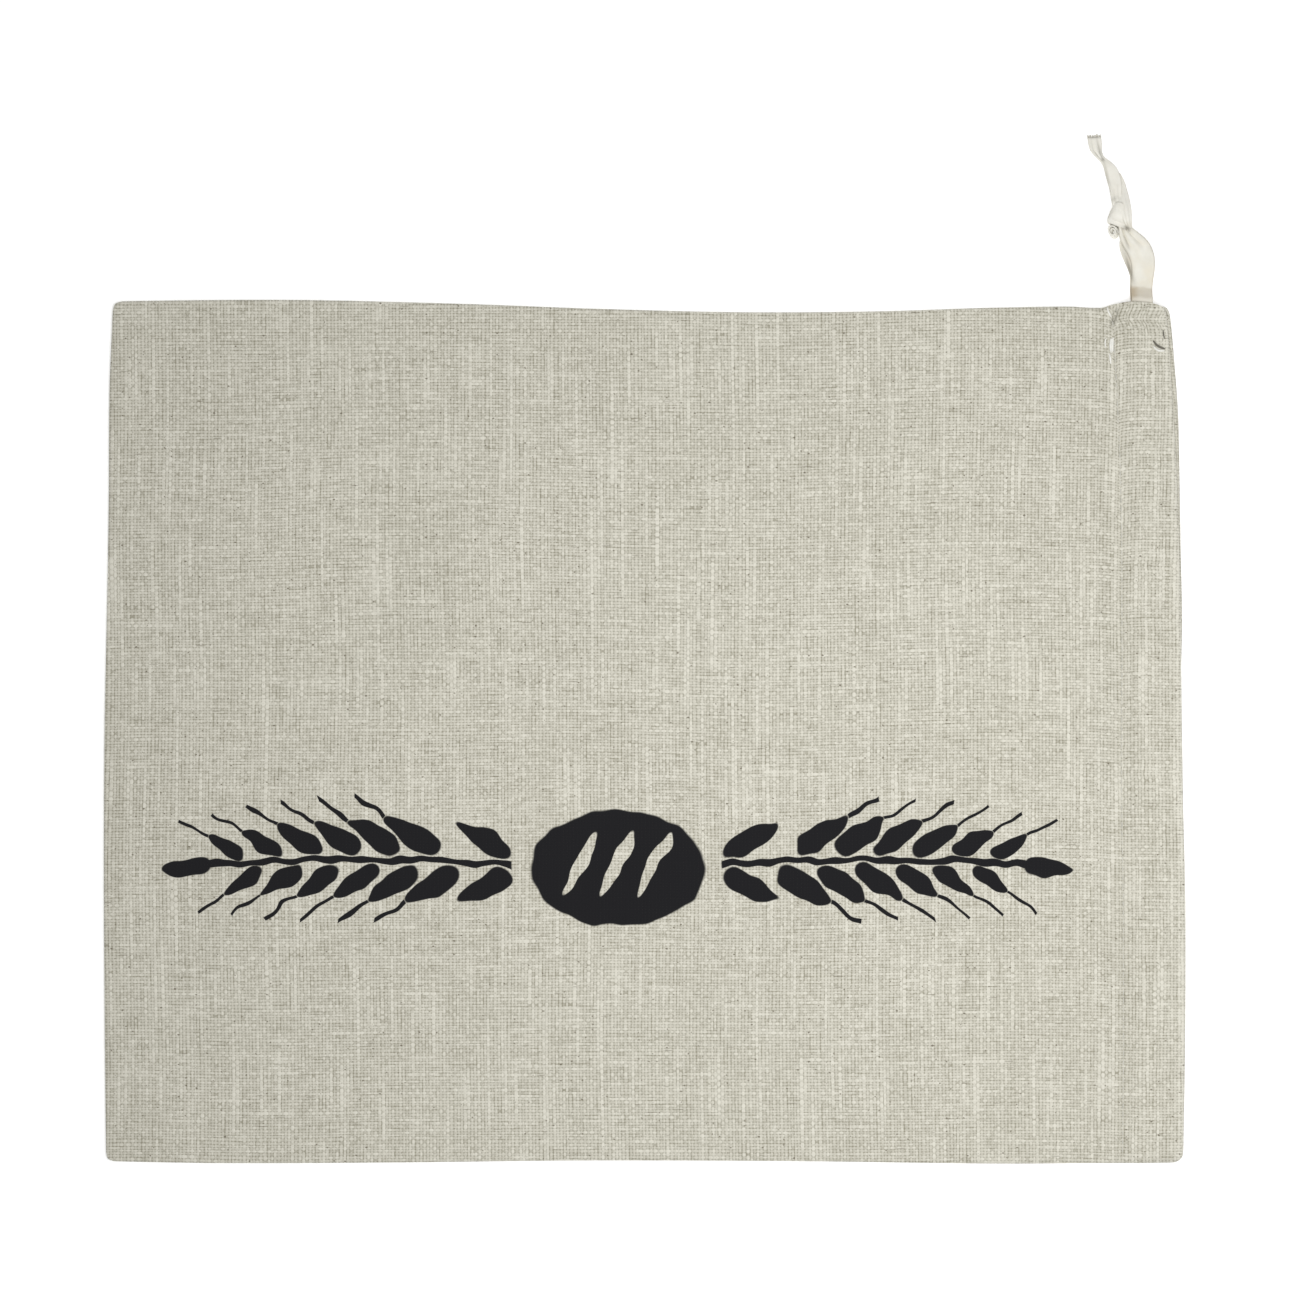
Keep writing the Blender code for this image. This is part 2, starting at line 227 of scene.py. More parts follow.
class Number:
    """A value in a material's node tree. Arithmetic on it adds nodes to the tree."""

    def __init__(self, tree, socket):
        self.tree = tree
        self.socket = socket

    __add__ = operation("ADD")
    __sub__ = operation("SUBTRACT")
    __rsub__ = operation("SUBTRACT", swapped=True)
    __mul__ = operation("MULTIPLY")
    __truediv__ = operation("DIVIDE")
    __pow__ = operation("POWER")
    __abs__ = operation("ABSOLUTE")
    at_most = operation("MINIMUM")
    at_least = operation("MAXIMUM")
    above = operation("GREATER_THAN")
    floor = operation("FLOOR")
    rounded = operation("ROUND")
    sine = operation("SINE")
    # The value times a factor, plus an offset.
    scaled = operation("MULTIPLY_ADD")
    # Runs from 0 up to a length and back again, over and over.
    to_and_fro = operation("PINGPONG")

    def ramp(self, low, high):
        """0 at and past low, 1 at and past high, eased in between, whichever is the larger."""
        node = self.tree.nodes.new("ShaderNodeMapRange")
        node.interpolation_type = "SMOOTHSTEP"
        feed(node.inputs["Value"], self)
        feed(node.inputs["From Min"], low)
        feed(node.inputs["From Max"], high)
        return Number(self.tree, node.outputs["Result"])


def choose(share, one, two):
    """One where share is 0 and two where it is 1."""
    return (two - one).scaled(share, one)


def pattern_noise(x, y, z, detail=0.0):
    """Smooth noise from about 0 to 1 whose grains are one unit across."""
    tree = x.tree
    place = tree.nodes.new("ShaderNodeCombineXYZ")
    for entry, value in zip(place.inputs, (x, y, z)):
        feed(entry, value)
    node = tree.nodes.new("ShaderNodeTexNoise")
    node.inputs["Scale"].default_value = 1.0
    node.inputs["Detail"].default_value = detail
    tree.links.new(place.outputs["Vector"], node.inputs["Vector"])
    return Number(tree, node.outputs["Fac"])


def cloth_pattern(x, y, grain, seed):
    """Noise from about 0 to 1 with grains of this size along X and Y."""
    return pattern_noise(x / grain[0], y / grain[1], seed)


def waves(value, length):
    """Even waves from 0 to 1, `length` apart."""
    return (value * (2 * math.pi / length)).sine().scaled(0.5, 0.5)


SPECULAR_LEVEL = 0.25
SHEEN_ROUGHNESS = 0.5


def start_material(name, roughness, sheen):
    """A new material and its shader."""
    material = bpy.data.materials.new(name)
    material.use_nodes = True
    shader = material.node_tree.nodes["Principled BSDF"]
    shader.inputs["Roughness"].default_value = roughness
    shader.inputs["Specular IOR Level"].default_value = SPECULAR_LEVEL
    shader.inputs["Sheen Weight"].default_value = sheen
    shader.inputs["Sheen Roughness"].default_value = SHEEN_ROUGHNESS
    return material, shader


def three_numbers(tree, vector):
    """A vector socket's values."""
    split = tree.nodes.new("ShaderNodeSeparateXYZ")
    tree.links.new(vector, split.inputs["Vector"])
    return [Number(tree, split.outputs[axis]) for axis in "XYZ"]


def object_place(tree):
    """The Object coordinates in millimetres."""
    coordinates = tree.nodes.new("ShaderNodeTexCoord")
    return [value * (1 / MM) for value in three_numbers(tree, coordinates.outputs["Object"])]


def attribute_place(tree, name):
    """A piece's own attribute."""
    attribute = tree.nodes.new("ShaderNodeAttribute")
    attribute.attribute_name = name
    return three_numbers(tree, attribute.outputs["Vector"])


def mixed(first, second, share):
    """Blends two colours, each a socket or three values, by a Number."""
    tree = share.tree
    mix = tree.nodes.new("ShaderNodeMix")
    mix.data_type = "RGBA"
    for name, colour in (("A", first), ("B", second)):
        entry = next(s for s in mix.inputs if s.name == name and s.type == "RGBA")
        if isinstance(colour, bpy.types.NodeSocket):
            tree.links.new(colour, entry)
        else:
            entry.default_value = (*colour, 1.0)
    feed(mix.inputs["Factor"], share)
    return next(s for s in mix.outputs if s.type == "RGBA")


def finish_material(material, shader, colour, height, relief):
    """Connects a colour socket and a height Number, which is 0 to 1 over the relief."""
    tree = material.node_tree
    tree.links.new(colour, shader.inputs["Base Color"])
    bump = tree.nodes.new("ShaderNodeBump")
    bump.inputs["Strength"].default_value = 1.0
    bump.inputs["Distance"].default_value = relief * MM
    feed(bump.inputs["Height"], height)
    tree.links.new(bump.outputs["Normal"], shader.inputs["Normal"])
    return material


# --------------------------------------
# Linen: a plain weave of uneven threads, with slubs, seed flecks and a worn block print.
# A pattern over the cloth is (grain along X and Y, seed), and one along a thread is
# (length, seed). Grains and lengths are in millimetres.
WARP = SimpleNamespace(
    pitch=1.22,
    wander=((150.0, 90.0), 3.0),
    wander_by=3.0,
    crowd=((3.1, 110.0), 15.0),
    crowd_by=0.95,
    fibre=((0.17, 1.4), 61.0),
    slub=(36.0, 4.0),
    slub_range=(0.58, 0.74),
    slub_rise=0.20,
    slub_tone=0.19,
    # Each is (length, seed, strength).
    tones=((28.0, 11.0, 0.26), (110.0, 23.0, 0.30), (1.9, 13.0, 0.70)),
    gap=(9.0, 71.0),
)
WEFT = SimpleNamespace(
    pitch=1.07,
    wander=((80.0, 150.0), 9.0),
    wander_by=3.2,
    crowd=((80.0, 2.9), 21.0),
    crowd_by=0.90,
    fibre=((1.4, 0.17), 67.0),
    slub=(17.0, 31.0),
    slub_range=(0.62, 0.76),
    slub_rise=0.14,
    slub_tone=0.13,
    tones=((17.0, 17.0, 0.60), (1.8, 19.0, 0.68)),
    gap=(7.0, 77.0),
)
# How far apart neighbouring threads are in a thread pattern, so that they don't look alike.
THREAD_STRIDE = 7.31
THREAD_RISE = 0.62
THREAD_ROUNDNESS = 2.0
CROSSING_RISE = 0.26
# Which set of threads lies higher, over wide patches.
LEAD = ((13.0, 13.0), 40.0)
LEAD_RISE = 0.32
CROSSING_EDGE = 0.10
FIBRE_TONE = 0.45
SPECKLE = ((0.40, 0.40), 60.0)
SPECKLE_TONE = 0.30
CLOUDS = ((45.0, 60.0), 70.0)
CLOUD_TONE = 0.06
# Darker stretches of single weft threads.
SHADE = (8.0, 53.0)
SHADE_RANGE = (0.66, 0.80)
SHADE_TONE = 0.30
# Gaps between two threads: their half width in threads, and where along them they open.
GAP_HALF_WIDTH = (0.22, 0.05)
GAP_RANGE = (0.60, 0.74)
GAP_TONE = 0.34
WEAVE_RELIEF = 0.16
# Spots: grain along X and Y, seed, and the range of the noise over which they show.
HUSKS = ((1.25, 0.95), 80.0, (0.775, 0.83))
DUST = ((0.62, 0.55), 87.0, (0.80, 0.86))
DUSTY_PATCHES = ((9.0, 9.0), 85.0, (0.48, 0.62))
STAINED_THREADS = ((5.5, 0.55), 90.0, (0.775, 0.83))
STAIN_STRENGTH = 0.65

LINEN_ROUGHNESS = 0.92
LINEN_SHEEN = 0.12
LINEN_DARK = (0.290, 0.273, 0.208)
LINEN_LIGHT = (0.680, 0.660, 0.575)
# The weave goes from dark to light over this range of its height, by this much.
LIT_RANGE = (0.16, 0.74)
LIT_RISE = 0.62
LIT_BASE = 0.120 - (FIBRE_TONE + SPECKLE_TONE + CLOUD_TONE) / 2
FLECK_COLOUR = (0.120, 0.100, 0.065)
FLECK_STRENGTH = 0.80
# Painted shade in the crease where the open side's seam ends.
CREASE_SHADOW_COLOUR = (0.100, 0.095, 0.075)
CREASE_SHADOW_STRENGTH = 0.85
INK_COLOUR = (0.0070, 0.0068, 0.0085)
INK_EDGE = 0.08
# The ink covers the weave's lowest places less, over this range of its height.
INK_RANGE = (0.02, 0.22)
INK_LEAST = 0.90
# A painted highlight along the front's fold at the mouth, over these distances from its edge.
FOLD_HIGHLIGHT_RANGE = (1.6, 3.4)
FOLD_HIGHLIGHT_TONE = 0.18
CLOTH_PLACE = "cloth_place"
# The attribute that holds how deep the crease is, for its painted shade.
CREASE_SHADE_ATTRIBUTE = "crease_shade_share"


def thread_pattern(thread, along, length, seed):
    """Random values along each numbered thread, changing over `length` millimetres."""
    return pattern_noise(thread * THREAD_STRIDE, along / length, seed)


def count_threads(place, x, y, threads):
    """How many threads of a set there are up to a place across them."""
    place = cloth_pattern(x, y, *threads.wander).scaled(threads.wander_by, place)
    place = cloth_pattern(x, y, *threads.crowd).scaled(threads.crowd_by, place)
    return place / threads.pitch


def shape_threads(count, number, along, threads):
    """The height and the tone of a set of threads, before it crosses the other set."""
    slub = thread_pattern(number, along, *threads.slub).ramp(*threads.slub_range)
    from_middle = count.to_and_fro(0.5).scaled(-2.0, 1.0)
    height = (from_middle ** (slub + THREAD_ROUNDNESS)).scaled(-THREAD_RISE, THREAD_RISE)
    height = slub.scaled(threads.slub_rise, height)
    tone = slub.scaled(threads.slub_tone, -sum(strength for _, _, strength in threads.tones) / 2)
    for length, seed, strength in threads.tones:
        tone = thread_pattern(number, along, length, seed).scaled(strength, tone)
    return height, tone


def open_gaps(count, along, pattern):
    """1 in the narrow gaps where two neighbouring threads stand apart for a while."""
    narrow = count.to_and_fro(0.5).ramp(*GAP_HALF_WIDTH)
    return narrow * thread_pattern(count.rounded(), along, *pattern).ramp(*GAP_RANGE)


def linen_weave(x, y):
    """The weave's height, about 0 to 1, and its tone."""
    warp = count_threads(x, x, y, WARP)
    weft = count_threads(y, x, y, WEFT)
    warp_number = warp.floor()
    weft_number = weft.floor()
    warp_height, warp_tone = shape_threads(warp, warp_number, y, WARP)
    weft_height, weft_tone = shape_threads(weft, weft_number, x, WEFT)
    over = ((weft + warp_number) * math.pi).sine()
    under = ((warp + weft_number) * math.pi).sine()
    lead = cloth_pattern(x, y, *LEAD).scaled(LEAD_RISE, -LEAD_RISE / 2)
    warp_height = over.scaled(CROSSING_RISE, warp_height) + lead
    weft_height = under.scaled(-CROSSING_RISE, weft_height) - lead
    height = warp_height.at_least(weft_height)
    on_warp = (warp_height - weft_height).ramp(-CROSSING_EDGE, CROSSING_EDGE)

    shade = thread_pattern(weft_number, x, *SHADE).ramp(*SHADE_RANGE)
    weft_tone = shade.scaled(-SHADE_TONE, weft_tone)
    fibre = choose(on_warp, cloth_pattern(x, y, *WEFT.fibre), cloth_pattern(x, y, *WARP.fibre))
    tone = fibre.scaled(FIBRE_TONE, choose(on_warp, weft_tone, warp_tone))
    tone = cloth_pattern(x, y, *SPECKLE).scaled(SPECKLE_TONE, tone)
    tone = cloth_pattern(x, y, *CLOUDS).scaled(CLOUD_TONE, tone)
    gaps = open_gaps(warp, y, WARP.gap).at_least(open_gaps(weft, x, WEFT.gap))
    return height, gaps.scaled(-GAP_TONE, tone)


def spots(x, y, grain, seed, shown):
    """Spots where the noise is in the upper part of a range, 0 to 1."""
    return cloth_pattern(x, y, grain, seed).ramp(*shown)


def linen_flecks(x, y):
    """Dark seed husks, dust and short stained threads, 0 to 1."""
    dust = spots(x, y, *DUST) * spots(x, y, *DUSTY_PATCHES)
    stains = spots(x, y, *STAINED_THREADS) * STAIN_STRENGTH
    return spots(x, y, *HUSKS).at_least(dust).at_least(stains)


# The print: a round loaf between two ears of wheat that point away from it.
PRINT_MIDDLE = (-9.35, -48.0)
LOAF_HALF = (31.0, 20.5)
# How steeply the loaf's edge rises in print_shape.
LOAF_STEEPNESS = 2.5
SLASHES = (-13.0, 0.0, 13.0)
SLASH_Y = 1.5
SLASH_TILT = math.radians(62)
SLASH_HALF = (12.5, 2.3)
EAR_START = 66.0
EAR_PITCH = 13.2
EAR_GRAINS = 6
EAR_OFFSET = 9.2
EAR_TILT = math.radians(33)
EAR_TAPER = 0.38
GRAIN_HALF = (11.2, 4.2)
# The grain at the ear's tip: how many pitches it lies past the last pair, and its scale.
TIP_PLACE = 0.55
TIP_SCALE = 0.8
AWN_LENGTH = 17.0
AWN_HALF_WIDTH = 0.75
STALK_HALF_WIDTH = 1.15
STALK_START = 37.0
STALK_TAPER = 4.0
# The stalk's bow: its lowest point along it, its drop there, and its rise over a span from there.
BOW_MIDDLE = 90.0
BOW_DROP = 3.0
BOW_RISE = 7.0
BOW_SPAN = 100.0
LEAF_PLACE = (47.0, 8.4)
LEAF_TILT = math.radians(29)
LEAF_HALF = (11.0, 3.9)
# A seed narrows by this share towards its tip, and no further than to the least width.
SEED_NARROWING = 0.30
SEED_LEAST_WIDTH = 0.35
# The patterns that shift the print's outline along X and Y, and how far.
RAGGED_X = ((7.0, 7.0), 100.0)
RAGGED_Y = ((7.0, 7.0), 110.0)
RAGGED_BY = 3.0


def turned(x, y, angle):
    """A place's distances along and across a direction, as two Numbers."""
    cosine = math.cos(angle)
    sine = math.sin(angle)
    return x.scaled(cosine, y * sine), x.scaled(-sine, y * cosine)


def ellipse(x, y, half_x, half_y):
    """1 in the middle of an ellipse, 0 on its edge and less past it."""
    wide = x / half_x
    tall = y / half_y
    return 1 - wide * wide - tall * tall


def seed_shape(along, across, half_length, half_width):
    """Over 0 inside a seed that is blunt at its root and pointed at its tip."""
    narrowed = along.scaled(-SEED_NARROWING * half_width / half_length, half_width)
    return ellipse(along, across, half_length, narrowed.at_least(SEED_LEAST_WIDTH * half_width))


def ear_shape(x, y):
    """Over 0 inside the ear of wheat that runs towards +X, whose rows of grains alternate."""
    below = 1 - y.above(0.0)
    along = below.scaled(EAR_PITCH / 2, x) - EAR_START
    number = (along / EAR_PITCH).floor()
    from_root = along - EAR_PITCH / 2
    up = abs(y)
    shape = None
    for step in (-1.0, 0.0, 1.0):
        cell = (number + step).at_least(0.0).at_most(EAR_GRAINS - 1.0)
        taper = cell.scaled(-EAR_TAPER / EAR_GRAINS, 1.0)
        grain_x = cell.scaled(-EAR_PITCH, from_root) / taper
        grain_y = up / taper - EAR_OFFSET
        run, side = turned(grain_x, grain_y, EAR_TILT)
        grain = seed_shape(run, side, *GRAIN_HALF)
        past = run - GRAIN_HALF[0]
        awn_end = past * past.scaled(-1 / AWN_LENGTH, 1.0)
        awn = (AWN_HALF_WIDTH - abs(side)).at_most(awn_end)
        found = grain.at_least(awn)
        shape = found if shape is None else shape.at_least(found)
    tip_x = x - EAR_START - (EAR_GRAINS + TIP_PLACE) * EAR_PITCH
    tip_half = [half * TIP_SCALE for half in GRAIN_HALF]
    return shape.at_least(seed_shape(tip_x, y, *tip_half))


def loaf_shape(x, y):
    """Over 0 inside the loaf, apart from the slashes in its crust."""
    loaf = ellipse(x, y, *LOAF_HALF) * LOAF_STEEPNESS
    for place in SLASHES:
        slash = ellipse(*turned(x - place, y - SLASH_Y, SLASH_TILT), *SLASH_HALF)
        loaf = loaf.at_most(0 - slash)
    return loaf


def print_shape(x, y):
    """Over 0 inside the printed motif."""
    ragged_x = cloth_pattern(x, y, *RAGGED_X)
    ragged_y = cloth_pattern(x, y, *RAGGED_Y)
    x = ragged_x.scaled(RAGGED_BY, x) - (PRINT_MIDDLE[0] + RAGGED_BY / 2)
    y = ragged_y.scaled(RAGGED_BY, y) - (PRINT_MIDDLE[1] + RAGGED_BY / 2)
    side = abs(x)
    bow = ((side - BOW_MIDDLE) / BOW_SPAN) ** 2.0 * BOW_RISE - BOW_DROP
    ear_y = y + bow
    stalk = (STALK_HALF_WIDTH - abs(ear_y)).at_most((side - STALK_START) / STALK_TAPER)
    stalk_end = EAR_START + EAR_GRAINS * EAR_PITCH
    stalk = stalk.at_most((stalk_end - side) / STALK_TAPER)
    leaf_y = abs(ear_y) - LEAF_PLACE[1]
    leaf_run, leaf_side = turned(side - LEAF_PLACE[0], leaf_y, LEAF_TILT)
    leaf = seed_shape(leaf_run, leaf_side, *LEAF_HALF)
    return ear_shape(side, ear_y).at_least(stalk).at_least(leaf).at_least(loaf_shape(x, y))


def make_linen(name, printed):
    """The cloth of one panel, whose attributes are described at write_cloth_place."""
    material, shader = start_material(name, LINEN_ROUGHNESS, LINEN_SHEEN)
    tree = material.node_tree
    along_weft, along_warp, from_mouth = attribute_place(tree, CLOTH_PLACE)
    height, tone = linen_weave(along_weft, along_warp)
    flecks = linen_flecks(along_weft, along_warp)
    lit = height.ramp(*LIT_RANGE).scaled(LIT_RISE, tone) + LIT_BASE
    if printed:
        # A painted highlight along the front's fold at the mouth.
        lit += (1 - from_mouth.ramp(*FOLD_HIGHLIGHT_RANGE)) * FOLD_HIGHLIGHT_TONE
    lit = lit.at_least(0.0).at_most(1.0)
    colour = mixed(LINEN_DARK, LINEN_LIGHT, lit)
    colour = mixed(colour, FLECK_COLOUR, flecks * FLECK_STRENGTH)
    # Painted shade in the crease at the open side's seam end.
    crease, _, _ = attribute_place(tree, CREASE_SHADE_ATTRIBUTE)
    colour = mixed(colour, CREASE_SHADOW_COLOUR, crease * CREASE_SHADOW_STRENGTH)
    if printed:
        x, y, _ = object_place(tree)
        held = height.ramp(*INK_RANGE) * (1 - INK_LEAST) + INK_LEAST
        ink = print_shape(x, y).ramp(-INK_EDGE, INK_EDGE) * held
        colour = mixed(colour, INK_COLOUR, ink)
    return finish_material(material, shader, colour, height, WEAVE_RELIEF)


# --------------------------------------
# Cotton: the soft cream tape and the sewing thread. Grains and lengths are in millimetres.
TAPE_ROUGHNESS = 0.85
TAPE_SHEEN = 0.15
TAPE_WIDTH = 9.5
TAPE_RELIEF = 0.05
# The herringbone: ribs that slant one way and the other across the tape, and fine lines along it.
HERRINGBONE_WIDTH = 3.2
HERRINGBONE_SLANT = 1.6
RIB_PITCH = 0.46
RIB_RISE = 0.6
RIB_TONE = 0.10
LINE_PITCH = 0.42
LINE_RISE = 0.3
LINE_TONE = 0.06
SELVEDGE = (TAPE_WIDTH / 2 - 0.9, TAPE_WIDTH / 2 - 0.5)
SELVEDGE_RISE = 0.6
SELVEDGE_TONE = -0.15
TAPE_DARK = (0.600, 0.565, 0.465)
TAPE_LIGHT = (0.850, 0.834, 0.765)
TAPE_TONE = 0.62
SOFT_GRAIN = 3.5
SOFT_DETAIL = 2.0
SOFT_TONE = 0.55
# The tape is creamier up to the knot, and paler past it.
PALE_RANGE = (34.0, 42.0)
PALE_TONE = 0.18
TAPE_WARM = (0.760, 0.655, 0.470)
WARM_GRAIN = (6.0, 3.0)
WARM_DETAIL = 1.0
WARM_SHIFT = 3.0
WARM_RANGE = (0.42, 0.80)
WARM_STRENGTH = 0.32
WARM_LOST_WHERE_PALE = 0.26
# A painted shade band where the tape drops from the casing's end, along it from its start inside the
# casing. The shade is weaker before that, and weaker towards one edge.
TAPE_EXIT_SHADE = (0.510, 0.430, 0.310)
EXIT_SHADE_START = (9.6, 11.6)
EXIT_SHADE_END = (14.8, 16.0)
EXIT_SHADE_UNEVEN = ((2.5, 2.5), 5.0)
EXIT_SHADE_UNEVEN_BY = 1.6
EXIT_SHADE_INSIDE = 0.45
EXIT_SHADE_STRENGTH = 0.90
EXIT_SHADE_EDGE = (-4.2, -0.5)
EXIT_SHADE_LOST_PAST_EDGE = 0.45
EXIT_SHADE_SOFTNESS = 0.6
# The colour of the painted shade in the tape's creases.
TAPE_CREASE_SHADE_COLOUR = (0.230, 0.215, 0.170)
TAPE_PLACE = "tape_place"

SEAM_THREAD = (0.68, 0.665, 0.590)
PALE_THREAD = (0.95, 0.94, 0.88)
# The colour of dark threads that stand in for the side slit's shade, a painted shadow.
SLIT_SHADOW_COLOUR = (0.16, 0.15, 0.12)
CUT_THREAD = (0.60, 0.57, 0.48)
THREAD_ROUGHNESS = 0.7
THREAD_SHEEN = 0.1
THREAD_RELIEF = 0.05
TWIST_PITCH = 0.35
TWIST_TONE = 0.5
THREAD_GRAIN = 2.0
THREAD_SOFT_TONE = 0.8
# A thread's darkest places have this share of its colour.
THREAD_DARKEST = 0.72


def make_cotton_tape():
    """A close herringbone that follows the tape, with a painted shade band where it leaves the
    casing. Its place attribute is (across, along, painted crease shade).
    """
    material, shader = start_material("cotton_tape", TAPE_ROUGHNESS, TAPE_SHEEN)
    tree = material.node_tree
    across, along, crease_shading = attribute_place(tree, TAPE_PLACE)
    x, y, z = object_place(tree)
    slant = across.to_and_fro(HERRINGBONE_WIDTH / 2) * (2 * HERRINGBONE_SLANT / HERRINGBONE_WIDTH)
    rib = waves(along + slant, RIB_PITCH)
    line = waves(across, LINE_PITCH)
    selvedge = abs(across).ramp(*SELVEDGE)
    height = rib * RIB_RISE + line * LINE_RISE + selvedge * SELVEDGE_RISE

    soft = pattern_noise(x / SOFT_GRAIN, y / SOFT_GRAIN, z / SOFT_GRAIN, SOFT_DETAIL) - 0.5
    pale = along.ramp(*PALE_RANGE)
    tone = rib * RIB_TONE + line * LINE_TONE + selvedge * SELVEDGE_TONE
    tone += soft * SOFT_TONE + pale * PALE_TONE + TAPE_TONE
    colour = mixed(TAPE_DARK, TAPE_LIGHT, tone.at_least(0.0).at_most(1.0))
    level, tall = WARM_GRAIN
    warm = pattern_noise(x / level + WARM_SHIFT, y / level, z / tall, WARM_DETAIL)
    warmth = WARM_STRENGTH - pale * WARM_LOST_WHERE_PALE
    colour = mixed(colour, TAPE_WARM, warm.ramp(*WARM_RANGE) * warmth)

    # A painted shade band across the tape where it drops from the casing.
    uneven = cloth_pattern(x, y, *EXIT_SHADE_UNEVEN).scaled(EXIT_SHADE_UNEVEN_BY, along) - EXIT_SHADE_UNEVEN_BY / 2
    exit_shade = uneven.ramp(*EXIT_SHADE_START) * (1 - EXIT_SHADE_INSIDE) + EXIT_SHADE_INSIDE
    exit_shade *= 1 - uneven.ramp(*EXIT_SHADE_END)
    strength = EXIT_SHADE_STRENGTH - across.ramp(*EXIT_SHADE_EDGE) * EXIT_SHADE_LOST_PAST_EDGE + soft * EXIT_SHADE_SOFTNESS
    colour = mixed(colour, TAPE_EXIT_SHADE, exit_shade * strength)
    # Painted shade in the tape's creases.
    colour = mixed(colour, TAPE_CREASE_SHADE_COLOUR, crease_shading)
    return finish_material(material, shader, colour, height, TAPE_RELIEF)


def make_thread(name, colour):
    """Twisted sewing thread."""
    material, shader = start_material(name, THREAD_ROUGHNESS, THREAD_SHEEN)
    tree = material.node_tree
    x, y, z = object_place(tree)
    twist = waves(x + y + z, TWIST_PITCH)
    soft = pattern_noise(x / THREAD_GRAIN, y / THREAD_GRAIN, z / THREAD_GRAIN)
    darkest = [channel * THREAD_DARKEST for channel in colour]
    lit = twist * TWIST_TONE + soft * THREAD_SOFT_TONE
    shade = mixed(darkest, colour, lit.at_most(1.0))
    return finish_material(material, shader, shade, twist, THREAD_RELIEF)


linen_printed = make_linen("linen_printed", True)
linen_plain = make_linen("linen_plain", False)
cotton = make_cotton_tape()
pale_thread = make_thread("pale_thread", PALE_THREAD)
seam_thread = make_thread("seam_thread", SEAM_THREAD)
# Dark thread for the painted shadow in the side slit.
slit_shadow_material = make_thread("painted_slit_shadow", SLIT_SHADOW_COLOUR)
cut_thread = make_thread("cut_thread", CUT_THREAD)

make_camera()

# --------------------------------------
# The free tape: two ends leave the casing, meet in the knot and run on as two tails.
TAPE_THICKNESS = 0.55
# The lowest that a tape's middle surface lies.
TAPE_LOWEST = TAPE_THICKNESS / 2 + 0.05
PLEAT_WAVE = 2.6 * math.pi
TAPE_STEPS = 90
TAPE_ACROSS = 14
# Places across a tape, from one edge, -1, to the other, 1.
ACROSS = [step / TAPE_ACROSS * 2 - 1 for step in range(TAPE_ACROSS + 1)]
# Rows are (x, y, height, width, lift of the -X edge, lift of the +X edge, crown, pleat).
FRONT_TAPE = (
    (175.6, 142.5, 4.25, 8.4, 0, 0, 0, 0),
    (175.7, 149.3, 4.25, 7.6, 0, 0, 0.1, 0),
    (175.8, 152.6, 4.10, 7.4, -0.1, -0.1, 0.2, 0),
    (175.9, 154.7, 2.70, 7.3, 0, 0, 0.1, 0),
    (176.0, 157.2, 1.50, 7.4, 0, 0, 0, 0),
    (176.3, 160.6, 1.40, 7.6, -0.3, 0.1, 0.2, 0),
    (176.5, 164.0, 1.70, 8.0, -0.6, 0.2, 0.4, 0),
    (176.2, 167.2, 2.10, 8.4, -0.7, 0.2, 0.6, 0),
    (174.8, 170.6, 2.50, 8.2, -0.6, 0.1, 0.6, 0.2),
    (172.3, 173.6, 2.80, 7.0, -0.6, 0.2, 0.2, 0.5),
    (170.4, 176.3, 2.90, 5.2, -0.4, 0.1, 0, 0.6),
    (169.5, 178.8, 2.90, 3.8, 0.3, 0.2, 0.2, 0.5),
    (168.8, 183.0, 3.00, 4.4, 0.2, 0.2, 0.3, 0.3),
    (167.4, 187.0, 2.90, 4.0, 0, 0.2, 0.5, 0.2),
    (166.8, 189.4, 2.75, 3.5, -0.3, 0.3, 0.5, 0.2),
    (166.6, 192.4, 2.45, 4.0, -0.8, 0.3, 0.6, 0.1),
    (166.0, 195.6, 2.20, 4.5, -0.8, 0.2, 0.5, 0),
    (165.1, 198.3, 2.00, 4.2, -0.8, 0.2, 0.4, 0),
    (163.7, 200.5, 1.80, 3.0, -0.2, 0, 0.3, 0),
    (162.0, 202.3, 1.60, 2.1, 0.4, -0.4, 0.2, 0.1),
    (160.7, 204.1, 1.30, 2.9, 0.8, -0.6, 0, 0.3),
    (159.9, 206.0, 0.95, 4.1, 0.6, -0.4, 0, 0.3),
    (159.5, 208.2, 0.75, 4.6, 0.3, -0.1, 0, 0.2),
    (159.3, 210.4, 0.55, 4.8, 0.1, 0.1, 0, 0.1),
)
